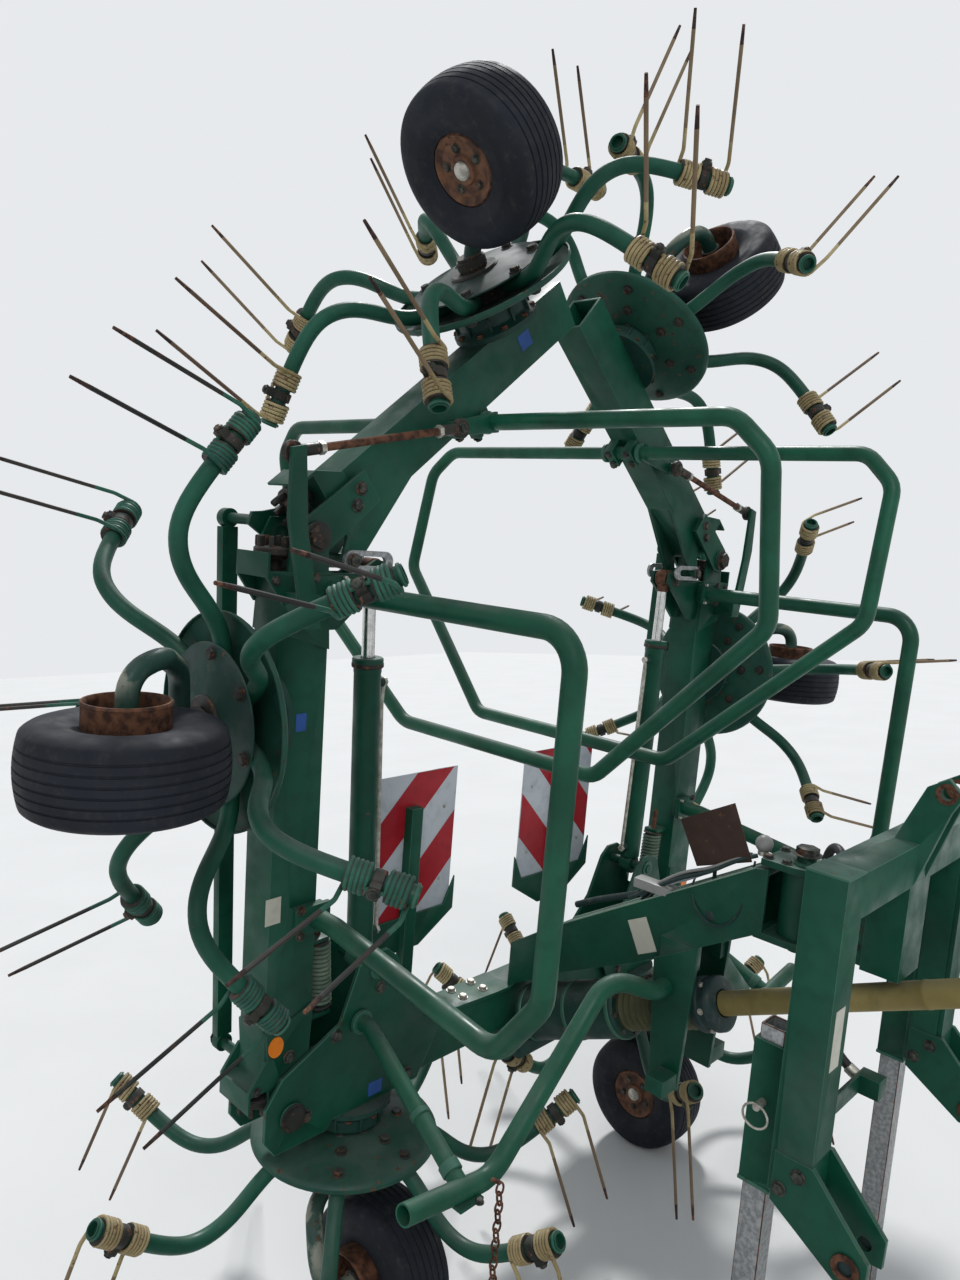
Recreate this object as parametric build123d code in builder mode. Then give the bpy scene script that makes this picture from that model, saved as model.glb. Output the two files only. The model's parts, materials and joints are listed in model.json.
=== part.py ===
from build123d import *
from math import atan2, cos, degrees, radians, sin, tan
import os

# Mounted hay tedder with six rotors, folded for transport and parked on two wheels and two stands.
# Every piece is drawn level in its working position, in millimetres: x to the side from the middle,
# y to the rear, z up from the plane of the rotor discs. The pieces of a wing are then folded, and
# the whole machine is tipped nose down and set on its wheels.

# Row and wings
row_pitch = 7.5
row_y = 389
centre_rotor_x = 600
pivot_x = 830
pivot_z = 150
inner_length = 1340
inner_rotor_reach = 940
outer_rotor_reach = 810
outer_length = 1040
inner_fold = 89
outer_fold = 51.5
arm_count = 7
rotor_turn = 4.2

# Beams, a rectangular tube for every segment
beam_height = 126
beam_depth = 100
beam_wall = 8
hinge_room = 78
cap_plate = 12
clutch_r = 46
clutch_hub_r = 18
clutch_fingers = 8
clutch_finger = (16, 13, 24)
clutch_disc = 20
clutch_gap = 3
flange_drop = 44
flange_side = 10
hood_length = 40
hood_plate = 6
pivot_pin_d = 34
pivot_pin_length = 34
ear_gap = 8
ear_plate = 10
inner_ear_plate = 8
shaft_drop = 50

# Gearboxes
gearbox_r = 95
gearbox_flange_r = 112
gearbox_flange = 14
gearbox_sides = 16

# Rotors
disc_r = 237
disc_plate = 6
disc_rim_z = (-26, -10)
disc_slope = 150
disc_sides = 28
hub_r = 62
hub_sides = 14
shaft_r = 33
hub_top = 14
hub_bottom = -66
cone_r = 172
cone_z = (-51, -45)
arm_tube_d = 42
arm_root_r = 100
arm_root_z = -18
coil_r = 580
coil_z = -41
coil_outer_r = 40
coil_length = 50
coil_gap = 26
tine_d = 9.5
tine_length = 350
tine_lean = 23
arm_bends = ((212, -30), (300, -118), (372, -148), (450, -140))

# Wheels
tyre_r = 184
tyre_width = 158
tyre_shoulder = 26
tyre_sides = 24
rim_r = 78
rim_plate = 8
rim_outstand = 38
wheel_inset = 13
wheel_lead = 159
wheel_drop = 304
leg_tube_d = 42
leg_bends = ((22, -6, -118), (128, -52, -146), (176, -138, -226))
leg_end_x = 148
leg_end_gap = 34
rim_hub_r = 34
rim_disc = 22
axle_d = 30
running_gap = 0.3
disc_height = tyre_r + wheel_lead * sin(radians(row_pitch)) + wheel_drop * cos(radians(row_pitch))

# Boom, headstock and stands
boom_width = 120
boom_wall = 8
boom_hole_r = 12
swivel_y = -862
swivel_low_z = 655
swivel_high_z = 812
swivel_tube_r = 48
swivel_pin_r = 22
lug_plate = 16
leg_x = 360
leg_box = 82
leg_y = -1070
leg_top_z = 955
leg_bottom_z = 312
mast_y = -1150
mast_z = 1072
mast_gap = 52
mast_plate = 14
upper_hole_d = 25.5
hitch_y = -1195
hitch_z = 252
hitch_hole_d = 28.5
hitch_gap = 76
hitch_plate = 12
stand_box = 50
stand_gap = 1.0
sleeve_wall = 6
sleeve_length = 300
foot_size = 110
foot_plate = 8
foot_boss = 14
stand_wall = 5
stand_spare = 10

# Drive shaft from the tractor
drive_rise = 25
drive_start_z = 92
housing_r = 78
housing_from = 105
housing_to = 430
bellows_r = 60
bellows_length = 235
collar_r = 68
collar_length = 62
guard_tube_r = 31
guard_tube_length = 660
front_bellows_length = 120
yoke_length = 70
bellows_ribs = 5
bellows_groove = 8
yoke_r = 40

# Guards
guard_tube_d = 46
strut_tube_d = 40
guard_dz = 50
guard_reach = 758
guard_high_l = 1222
guard_low_l = 470
bow_tube_d = 40
bow_l = 592
bow_dz = beam_height / 2 + bow_tube_d / 2 + 6
bow_half_width = 828
bow_corner = 80
bow_side = 430
bow_depth = 880
bow_end_half = 360
bow_fold = 118
bow_crank = 140
bow_crank_angle = 88
bow_crank_d = 26
bow_crank_boss_r = 18
link_arm_l = 170
link_arm_dz = -90
link_y = -108
link_rod_d = 18
link_pin_r = 11
link_eye_r = 24
link_eye_width = 16

# Fold rods, from the middle frame past each inner beam to the outer beam
fold_base = (25, 75)
fold_eye_r = 58
fold_eye_angle = 24.75
fold_rod_y = 190
fold_rod_box = (40, 24)
fold_pin_r = 12
fold_eye_gap = 5

# Slotted links at the outer beam's lift pin
slot_link_length = 96
slot_link_r = 23
slot_link_slot_r = 11
slot_link_plate = 7
slot_link_angle = 39.5
lift_pin = (60, 114)

# Lift cylinders
cylinder_base_x = 590
cylinder_base_z = 440
cylinder_eye_x = 634
cylinder_eye_z = 1418
cylinder_pin_r = 15
eye_pin_r = 13
barrel_r = 33
barrel_length = 745
barrel_cap_length = 30
piston_rod_r = 16
eye_r = 28

# Warning boards
board_width = 350
board_height = 423
board_x = 325
board_y = 132
board_low_z = 425
board_plate = 4
post_half = 20
post_depth = 30
holder_plate = 6

# Hose
hose_d = 20
hose_gland = ((-82, -50), (-948, -910), (744, 838))
hose_holder = ((-178, -140), (452, 492))
hose_route = (
    (-66, -928, 838), (-74, -936, 890), (-112, -968, 925), (-150, -1002, 915),
    (-176, -1018, 860), (-184, -1014, 795), (-184, -1008, 725), (-180, -1008, 655),
    (-177, -1013, 592), (-169, -1028, 536), (-162, -1057, 494), (-158, -1096, 472),
)

pitch_pose = Location((0, row_y, disc_height), (row_pitch, 0, 0))
pivot_2_x = pivot_x + inner_length
inner_axis = Axis((pivot_x, 0, pivot_z), (0, 1, 0))
outer_axis = Axis((pivot_2_x, 0, pivot_z), (0, 1, 0))
bow_axis = Axis((pivot_2_x + bow_l, 0, pivot_z + bow_dz), (0, 1, 0))
inner_rotor_x = pivot_x + inner_rotor_reach
outer_rotor_x = pivot_2_x + outer_rotor_reach


def set_down(shape, segment):
    """Fold a piece drawn in the working position and set the machine on its wheels."""
    if segment == "bow":
        shape = shape.rotate(bow_axis, -bow_fold)
    if segment in ("outer", "bow"):
        shape = shape.rotate(outer_axis, -outer_fold)
    if segment != "centre":
        shape = shape.rotate(inner_axis, -inner_fold)
    return shape.moved(pitch_pose)


def add_tube(points, diameter, bend=0, sides=6, closed=False):
    """A round tube along a route of points, its corners cut at a distance and mitred."""
    corners = [Vector(*p) for p in points]
    route = [] if closed else [corners[0]]
    count = len(corners)
    for i in range(0 if closed else 1, count if closed else count - 1):
        here = corners[i]
        for other in (corners[i - 1], corners[(i + 1) % count]):
            if bend:
                route.append(here + (other - here).normalized() * bend)
        if not bend:
            route.append(here)
    if closed:
        middle = (corners[-1] + corners[0]) / 2
        route = [middle] + route + [middle]
    else:
        route.append(corners[-1])
    with BuildLine() as path:
        Polyline(*route)
    with BuildSketch(Plane(origin=path.line @ 0, z_dir=path.line % 0)) as section:
        RegularPolygon(diameter / 2, sides)
    sweep(section.sketch, path=path.line, transition=Transition.RIGHT)


def add_round(plane, start, end, radius, sides, mode=Mode.ADD, taper=0):
    """A many-sided round bar between two distances along a plane's normal."""
    with BuildSketch(plane.offset(start)) as ring:
        RegularPolygon(radius, sides)
    extrude(ring.sketch, amount=end - start, taper=taper, mode=mode)


def add_box(x, y, z, mode=Mode.ADD):
    """A box between pairs of limits."""
    with Locations(((x[0] + x[1]) / 2, (y[0] + y[1]) / 2, (z[0] + z[1]) / 2)):
        Box(x[1] - x[0], y[1] - y[0], z[1] - z[0], mode=mode)


def add_pin(centre, radius, length, direction, mode=Mode.ADD):
    """A round bar centred on a point."""
    with BuildSketch(Plane(origin=centre, z_dir=direction)) as section:
        Circle(radius)
    extrude(section.sketch, amount=length / 2, both=True, mode=mode)


def add_plate(points, y_centre, thickness, mode=Mode.ADD):
    """A plate across the row, from its outline in x and z."""
    with BuildSketch(Plane(origin=(0, y_centre, 0), x_dir=(1, 0, 0), z_dir=(0, -1, 0))) as outline:
        Polygon(*points, align=None)
    extrude(outline.sketch, amount=thickness / 2, both=True, mode=mode)


def add_side_plate(points, x_centre, thickness, mode=Mode.ADD):
    """A plate along the machine, from its outline in y and z."""
    with BuildSketch(Plane(origin=(x_centre, 0, 0), x_dir=(0, 1, 0), z_dir=(1, 0, 0))) as outline:
        Polygon(*points, align=None)
    extrude(outline.sketch, amount=thickness / 2, both=True, mode=mode)


def add_wheel_leg(hub_x):
    """The fixed centre shaft of a rotor with the bent tube that carries its wheel."""
    top = pivot_z - beam_height / 2
    bottom = hub_bottom - 34
    add_pin((hub_x, 0, (top + bottom) / 2), shaft_r - running_gap, top - bottom, (0, 0, 1))
    axle_x = hub_x - wheel_inset
    add_tube([(hub_x, 0, hub_bottom - 14)] + [(hub_x + dx, y, z) for dx, y, z in leg_bends]
             + [(hub_x + leg_end_x, -wheel_lead, -wheel_drop),
                (axle_x + leg_end_gap, -wheel_lead, -wheel_drop)], leg_tube_d, bend=28)
    add_pin((axle_x, -wheel_lead, -wheel_drop), axle_d / 2, tyre_width - 50, (1, 0, 0))


def add_gearbox(hub_x):
    """A round gearbox with its flange under a beam."""
    top = pivot_z - beam_height / 2
    seat = Plane(origin=(hub_x, 0, 0))
    add_round(seat, hub_top + 8, top, gearbox_r, gearbox_sides)
    add_round(seat, top - gearbox_flange, top, gearbox_flange_r, gearbox_sides)


def add_clutch(hinge_x, inward):
    """Half of a finger clutch at a hinge, on the cap of the beam that ends inward of it."""
    shaft_z = pivot_z - shaft_drop
    face = hinge_x + inward * clutch_gap
    width, depth, reach = clutch_finger
    cap = hinge_x + inward * (hinge_room - running_gap)
    add_pin(((cap + face + inward * reach) / 2, 0, shaft_z), clutch_hub_r, abs(cap - face) - reach, (1, 0, 0))
    plane = Plane(origin=(face, 0, shaft_z), x_dir=(0, 1, 0), z_dir=(inward, 0, 0))
    with BuildSketch(plane.offset(reach)) as disc:
        RegularPolygon(clutch_r, 16)
    extrude(disc.sketch, amount=clutch_disc)
    with BuildSketch(plane) as fingers:
        with PolarLocations(clutch_r - 10, clutch_fingers):
            Rectangle(width, depth)
    extrude(fingers.sketch, amount=reach)


def add_flange(hinge_x, outward):
    """The wide end plate of a beam at a hinge, with a hood under the clutch."""
    face = hinge_x + outward * hinge_room
    low = pivot_z - beam_height / 2 - flange_drop
    side = beam_depth / 2 + flange_side
    add_box(sorted((face, face + outward * cap_plate)), (-side, side), (low, pivot_z + beam_height / 2))
    add_box(sorted((face - outward * hood_length, face + outward * cap_plate)), (-side, side),
            (low, low + hood_plate))
    for end in (-1, 1):
        add_plate(((face + outward * cap_plate, low), (face + outward * (cap_plate + 60), low + flange_drop),
                   (face + outward * (cap_plate + 60), low + flange_drop + 20),
                   (face + outward * cap_plate, low + flange_drop + 40)), end * (side - 4), 8)


def make_rotor():
    """A disc with seven bent arms, each with a pair of coiled tines."""
    low, shoulder = disc_rim_z
    slant = degrees(atan2(disc_slope, hub_top - shoulder))
    with BuildPart() as pan:
        add_round(Plane.XY, low, shoulder, disc_r, disc_sides)
        add_round(Plane.XY, shoulder, hub_top, disc_r, disc_sides, taper=slant)
        add_round(Plane.XY, low - 1, shoulder - disc_plate, disc_r - disc_plate, disc_sides, Mode.SUBTRACT)
        add_round(Plane.XY, shoulder - disc_plate, hub_top - disc_plate, disc_r - disc_plate, disc_sides,
                  Mode.SUBTRACT, slant)
        add_round(Plane.XY, hub_bottom, hub_top, hub_r, hub_sides)
        add_round(Plane.XY, cone_z[0], cone_z[1], cone_r, disc_sides)
        add_pin((0, 0, 0), shaft_r, 200, (0, 0, 1), mode=Mode.SUBTRACT)
    knee = Vector(arm_bends[-1][0], 0, arm_bends[-1][1])
    centre = Vector(coil_r, 0, coil_z)
    along = (centre - knee).normalized()
    down = Vector(sin(radians(tine_lean)), 0, -cos(radians(tine_lean)))
    reach = coil_gap / 2 + coil_length
    with BuildPart() as arm:
        add_tube([(arm_root_r, 0, arm_root_z)] + [(r, 0, z) for r, z in arm_bends]
                 + [tuple(centre + along * (reach - 10))], arm_tube_d)
        for sign in (-1, 1):
            coil = Plane(origin=centre, x_dir=(0, 1, 0), z_dir=along * sign)
            add_round(coil, coil_gap / 2, reach, coil_outer_r, 6)
            root = centre + along * sign * (reach - tine_d)
            with BuildSketch(Plane(origin=root, x_dir=(0, 1, 0), z_dir=down)) as tine:
                RegularPolygon(tine_d * 0.6, 3)
            extrude(tine.sketch, amount=tine_length)
    with BuildPart() as whole:
        add(pan.part)
        add([arm.part.rotate(Axis.Z, 360 / arm_count * i) for i in range(arm_count)])
    return whole.part


def make_tyre():
    """A tyre with rounded shoulders."""
    half = tyre_width / 2
    with BuildPart() as tyre:
        add_round(Plane.YZ, -half, half, tyre_r, tyre_sides)
        for end in (0, -1):
            chamfer(tyre.faces().sort_by(Axis.X)[end].edges(), length=tyre_shoulder)
        add_round(Plane.YZ, -half - 1, half + 1, rim_r + running_gap, tyre_sides, Mode.SUBTRACT)
    return tyre.part.moved(Location((-wheel_inset, -wheel_lead, -wheel_drop)))


def make_rim():
    """A deep rim with its disc at the inner side and a raised band at the outer side."""
    half = tyre_width / 2
    inside = rim_r - rim_plate
    with BuildPart() as rim:
        add_round(Plane.YZ, -half + rim_plate, half + rim_outstand, rim_r, tyre_sides)
        add_round(Plane.YZ, -half + rim_plate + rim_disc, half + rim_outstand + 1, inside, tyre_sides,
                  Mode.SUBTRACT)
        add_round(Plane.YZ, -half + 7, -half + 22, inside, tyre_sides, Mode.SUBTRACT)
        add_round(Plane.YZ, -half + rim_plate, -6, rim_hub_r, 12)
        add_pin((0, 0, 0), axle_d / 2 + running_gap, 3 * tyre_width, (1, 0, 0), mode=Mode.SUBTRACT)
    return rim.part.moved(Location((-wheel_inset, -wheel_lead, -wheel_drop)))


def make_centre_frame():
    """The middle beam with the plates that hold the wings and the lift cylinders."""
    low = pivot_z - beam_height / 2
    high = pivot_z + beam_height / 2
    end = pivot_x - hinge_room
    plate_y = beam_depth / 2 + inner_ear_plate + ear_gap + ear_plate / 2
    with BuildPart() as frame:
        add_box((-end, end), (-beam_depth / 2, beam_depth / 2), (low, high))
        add_box((-end + cap_plate, end - cap_plate), (-beam_depth / 2 + beam_wall, beam_depth / 2 - beam_wall),
                (low + beam_wall, high - beam_wall), mode=Mode.SUBTRACT)
        for side in (-1, 1):
            outline = ((430, low + 1), (706, low + 1), (724, 66), (pivot_x + 40, 66), (pivot_x + 72, 110),
                       (pivot_x + 72, 190), (pivot_x + 30, 250), (700, 330), (650, 462), (618, 484),
                       (562, 484), (528, 455), (470, 330), (356, high))
            for face in (-1, 1):
                add_plate([(side * x, z) for x, z in outline], face * plate_y, ear_plate)
                add_pin((side * pivot_x, face * (plate_y - 2), pivot_z), pivot_pin_d / 2, pivot_pin_length,
                        (0, 1, 0))
            add_box(sorted((side * 450, side * (end - 40))), (-plate_y, plate_y), (low + 22, high - 22))
            add_pin((side * cylinder_base_x, 0, cylinder_base_z), cylinder_pin_r, 2 * plate_y + 30,
                    (0, 1, 0))
            reach = fold_rod_y + 20 - plate_y
            add_pin((side * (pivot_x + fold_base[0]), plate_y + reach / 2, pivot_z + fold_base[1]), fold_pin_r,
                    reach, (0, 1, 0))
    return frame.part


def make_centre_drive():
    """The gearboxes of the middle, the input housing, the finger clutches and the wheel legs."""
    line = Vector(0, -cos(radians(drive_rise)), sin(radians(drive_rise)))
    with BuildPart() as half:
        add_gearbox(centre_rotor_x)
        add_wheel_leg(centre_rotor_x)
        add_clutch(pivot_x, -1)
    with BuildPart() as drive:
        add(half.part)
        add(half.part.mirror(Plane.YZ))
        add_box((-100, 100), (-150, 85), (46, pivot_z - beam_height / 2))
        with BuildSketch(Plane(origin=drive_point(housing_from), x_dir=(1, 0, 0), z_dir=line)) as pipe:
            RegularPolygon(housing_r, 20)
        extrude(pipe.sketch, amount=(housing_to - housing_from) / cos(radians(drive_rise)))
    return drive.part


def drive_point(forward, offset=0):
    """A point on the line of the drive shaft, measured forward from the middle."""
    rise = tan(radians(drive_rise))
    return Vector(0, -forward, drive_start_z + rise * forward + offset)


def make_pto_guard():
    """The guarded drive shaft: ribbed bellows, collar, tube and front bellows."""
    line = Vector(0, -cos(radians(drive_rise)), sin(radians(drive_rise)))
    seat = Plane(origin=drive_point(housing_to) + line * running_gap, x_dir=(1, 0, 0), z_dir=line)
    front = front_bellows_length
    length = bellows_length + collar_length + guard_tube_length
    with BuildPart() as guard:
        for i in range(bellows_ribs):
            start = bellows_length * i / bellows_ribs
            add_round(seat, start, start + bellows_length / bellows_ribs, bellows_r - bellows_groove, 12)
            add_round(seat, start + 14, start + 30, bellows_r, 12)
        add_round(seat, bellows_length, bellows_length + collar_length, collar_r, 12)
        add_round(seat, bellows_length + collar_length, length, guard_tube_r, 12)
        add_round(seat, length, length + front, collar_r - 8, 12)
        add_round(seat, length + front, length + front + yoke_length, yoke_r - 6, 8)
    return guard.part


def make_boom():
    """The rising box boom with its fork for the headstock swivel."""
    floor = pivot_z + beam_height / 2
    outline = ((-50, floor), (-50, 350), (-180, 440), (-770, 800), (-800, 806), (-800, 652),
               (-760, 628), (-470, 452), (-240, 334), (-150, 276), (-80, 240), (-60, floor))
    inner = ((-84, 256), (-84, 330), (-184, 430), (-772, 790), (-830, 790), (-830, 668),
             (-762, 640), (-474, 466), (-236, 350), (-144, 292))
    with BuildPart() as boom:
        add_side_plate(outline, 0, boom_width)
        add_side_plate(inner, 0, boom_width - 2 * boom_wall, mode=Mode.SUBTRACT)
        add_pin((0, -666, 648), boom_hole_r, 2 * boom_width, (1, 0, 0), mode=Mode.SUBTRACT)
        for z in (swivel_low_z - lug_plate / 2 - 1, swivel_high_z + lug_plate / 2 + 1):
            with BuildSketch(Plane.XY.offset(z)) as lug:
                Polygon((-60, -780), (-60, swivel_y), (-44, swivel_y - 46), (44, swivel_y - 46),
                        (60, swivel_y), (60, -780), align=None)
            extrude(lug.sketch, amount=lug_plate / 2, both=True)
        add_pin((0, swivel_y, (swivel_low_z + swivel_high_z) / 2), swivel_pin_r,
                swivel_high_z - swivel_low_z + 2 * lug_plate + 40, (0, 0, 1))
        for side in (-1, 1):
            with BuildSketch(Plane.XY.offset(floor)) as gusset:
                Polygon((side * 58, -64), (side * 120, -64), (side * 330, -48), (side * 330, 40),
                        (side * 58, 40), align=None)
            extrude(gusset.sketch, amount=10)
            add_side_plate(((-540, 500), (-560, 190), (-640, 190), (-660, 570)), side * 79, 12)
            add_box(sorted((side * 50, side * 75)), (-650, -550), (500, 560))
            add_box(sorted((side * 80, side * 150)), (-640, -590), (196, 236))
    return boom.part


def make_headstock():
    """The swivelling frame that hangs on the tractor's three-point linkage."""
    with BuildPart() as headstock:
        add_pin((0, swivel_y, (swivel_low_z + swivel_high_z) / 2), swivel_tube_r,
                swivel_high_z - swivel_low_z, (0, 0, 1))
        add_box((-55, 55), (leg_y + leg_box / 2 - 10, swivel_y - 30), (swivel_low_z + 6, swivel_high_z - 6))
        add_pin((0, swivel_y, (swivel_low_z + swivel_high_z) / 2), swivel_pin_r + running_gap,
                swivel_high_z - swivel_low_z, (0, 0, 1), mode=Mode.SUBTRACT)
        add_box((-60, 60), (leg_y - leg_box / 2, leg_y + leg_box / 2), (swivel_low_z, leg_top_z))
        add_box((-leg_x, leg_x), (leg_y - leg_box / 2, leg_y + leg_box / 2), (leg_top_z - 90, leg_top_z))
        for side in (-1, 1):
            x = side * leg_x
            add_box((x - leg_box / 2, x + leg_box / 2), (leg_y - leg_box / 2, leg_y + leg_box / 2),
                    (leg_bottom_z, leg_top_z))
            for face in (-1, 1):
                add_side_plate(((leg_y + 30, 400), (leg_y + 30, 300), (hitch_y + 20, hitch_z - 36),
                                (hitch_y - 36, hitch_z - 30), (hitch_y - 38, hitch_z + 26),
                                (leg_y - 45, 400)), x + face * (hitch_gap + hitch_plate) / 2, hitch_plate)
            add_pin((x, hitch_y, hitch_z), hitch_hole_d / 2, hitch_gap + 4 * hitch_plate, (1, 0, 0),
                    mode=Mode.SUBTRACT)
            sleeve_y = leg_y + leg_box / 2 + stand_box / 2 + stand_gap + sleeve_wall
            outer = stand_box / 2 + stand_gap + sleeve_wall
            inner = stand_box / 2 + stand_gap
            add_box((x - outer, x + outer), (sleeve_y - outer - 1, sleeve_y + outer),
                    (leg_bottom_z - 20, leg_bottom_z - 20 + sleeve_length))
            add_box((x - inner, x + inner), (sleeve_y - inner, sleeve_y + inner),
                    (leg_bottom_z - 30, leg_bottom_z + sleeve_length), mode=Mode.SUBTRACT)
            add_side_plate(((leg_y + 20, leg_top_z - 20), (mast_y + 40, mast_z + 6), (mast_y, mast_z + 32),
                            (mast_y - 32, mast_z), (mast_y - 12, mast_z - 40), (leg_y - 40, leg_top_z - 90),
                            (leg_y + 20, leg_top_z - 90)), side * (mast_gap + mast_plate) / 2, mast_plate)
        add_box(*hose_gland)
        add_box((-leg_x, hose_holder[0][0] + 26), (leg_y - 30, leg_y - 22), hose_holder[1])
        add_box(hose_holder[0], (leg_y - 70, leg_y - 22), hose_holder[1])
        add_pin((0, mast_y, mast_z), upper_hole_d / 2, 200, (1, 0, 0), mode=Mode.SUBTRACT)
    return headstock.part


def make_stand():
    """A square stand leg that slides in its sleeve, drawn for the far side."""
    sleeve_y = leg_y + leg_box / 2 + stand_box / 2 + stand_gap + sleeve_wall
    slope = radians(row_pitch)
    ground_z = -(disc_height + sleeve_y * sin(slope)) / cos(slope)
    with BuildPart() as stand:
        half = stand_box / 2
        add_box((leg_x - half, leg_x + half), (sleeve_y - half, sleeve_y + half),
                (ground_z + foot_boss, leg_bottom_z + sleeve_length + stand_spare))
        inside = half - stand_wall
        add_box((leg_x - inside, leg_x + inside), (sleeve_y - inside, sleeve_y + inside),
                (ground_z + 40, leg_bottom_z + sleeve_length + 20), mode=Mode.SUBTRACT)
        foot = Plane(origin=(leg_x, sleeve_y, ground_z), x_dir=(1, 0, 0), z_dir=(0, sin(slope), cos(slope)))
        with BuildSketch(foot):
            Rectangle(foot_size, foot_size)
        extrude(amount=foot_plate)
        with BuildSketch(foot.offset(foot_plate)):
            Rectangle(stand_box + 8, stand_box + 8)
        extrude(amount=foot_boss)
    return stand.part


def make_inner_beam():
    """The inner wing beam with its ears at both hinges, the lift lever and the guard's link arm."""
    half = beam_height / 2
    start = pivot_x + hinge_room
    end = pivot_2_x - hinge_room
    cheek_y = beam_depth / 2 + inner_ear_plate / 2
    with BuildPart() as beam:
        add_box((start, end), (-beam_depth / 2, beam_depth / 2), (pivot_z - half, pivot_z + half))
        add_box((start + cap_plate, end - cap_plate),
                (-beam_depth / 2 + beam_wall, beam_depth / 2 - beam_wall),
                (pivot_z - half + beam_wall, pivot_z + half - beam_wall), mode=Mode.SUBTRACT)
        add_flange(pivot_x, 1)
        add_flange(pivot_2_x, -1)
        for face in (-1, 1):
            for x, out in ((pivot_x, 1), (pivot_2_x, -1)):
                add_plate(((x - out * 36, pivot_z - 30), (x, pivot_z - 48), (x + out * 210, pivot_z - half),
                           (x + out * 250, pivot_z + half), (x, pivot_z + 48), (x - out * 36, pivot_z + 30)),
                          face * cheek_y, inner_ear_plate)
            x = pivot_2_x
            add_plate(((x - 210, 210), (x - 82, 210), (x - 82, 300), (x - 50, 355), (x - 55, 390),
                       (x - 90, 395), (x - 108, 370), (x - 210, 250)), face * 31, 10)
        for x in (pivot_x, pivot_2_x):
            add_pin((x, 0, pivot_z), pivot_pin_d / 2 + running_gap, 400, (0, 1, 0), mode=Mode.SUBTRACT)
        for l in (guard_low_l, guard_high_l):
            add_box((pivot_x + l - 30, pivot_x + l + 30), (-beam_depth / 2 - 14, -beam_depth / 2 + 2),
                    (pivot_z - 10, pivot_z + 76))
        tip = (pivot_2_x + link_arm_l, pivot_z + link_arm_dz)
        arm_y = link_y - 21
        add_plate(((pivot_2_x - 190, pivot_z - 66), (pivot_2_x - 190, pivot_z - 20),
                   (pivot_2_x + 10, pivot_z - 62), (tip[0] + 16, tip[1] + 16), (tip[0] + 8, tip[1] - 18),
                   (pivot_2_x + 40, pivot_z - 110)), arm_y, 10)
        add_box((pivot_2_x - 190, pivot_2_x - 120), (arm_y - 5, -beam_depth / 2), (pivot_z - 62, pivot_z - 24))
        add_pin((tip[0], link_y - 4, tip[1]), link_pin_r, 30, (0, 1, 0))
    return beam.part


def make_inner_drive():
    """The inner wing's gearbox, wheel leg and clutch halves."""
    with BuildPart() as drive:
        add_gearbox(inner_rotor_x)
        add_wheel_leg(inner_rotor_x)
        add_clutch(pivot_x, 1)
        add_clutch(pivot_2_x, -1)
    return drive.part


def make_inner_guard():
    """The bent guard tube in front of the inner wing."""
    z = pivot_z + guard_dz
    near = beam_depth / 2 + 14 + running_gap
    with BuildPart() as guard:
        add_tube(((pivot_x + guard_high_l, -near, z), (pivot_x + guard_high_l, -guard_reach, z),
                  (pivot_x + 540, -guard_reach + 14, z), (pivot_x + 400, -640, z),
                  (pivot_x + guard_low_l, -140, z), (pivot_x + guard_low_l, -near, z)),
                 guard_tube_d, bend=24)
    return guard.part


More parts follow.
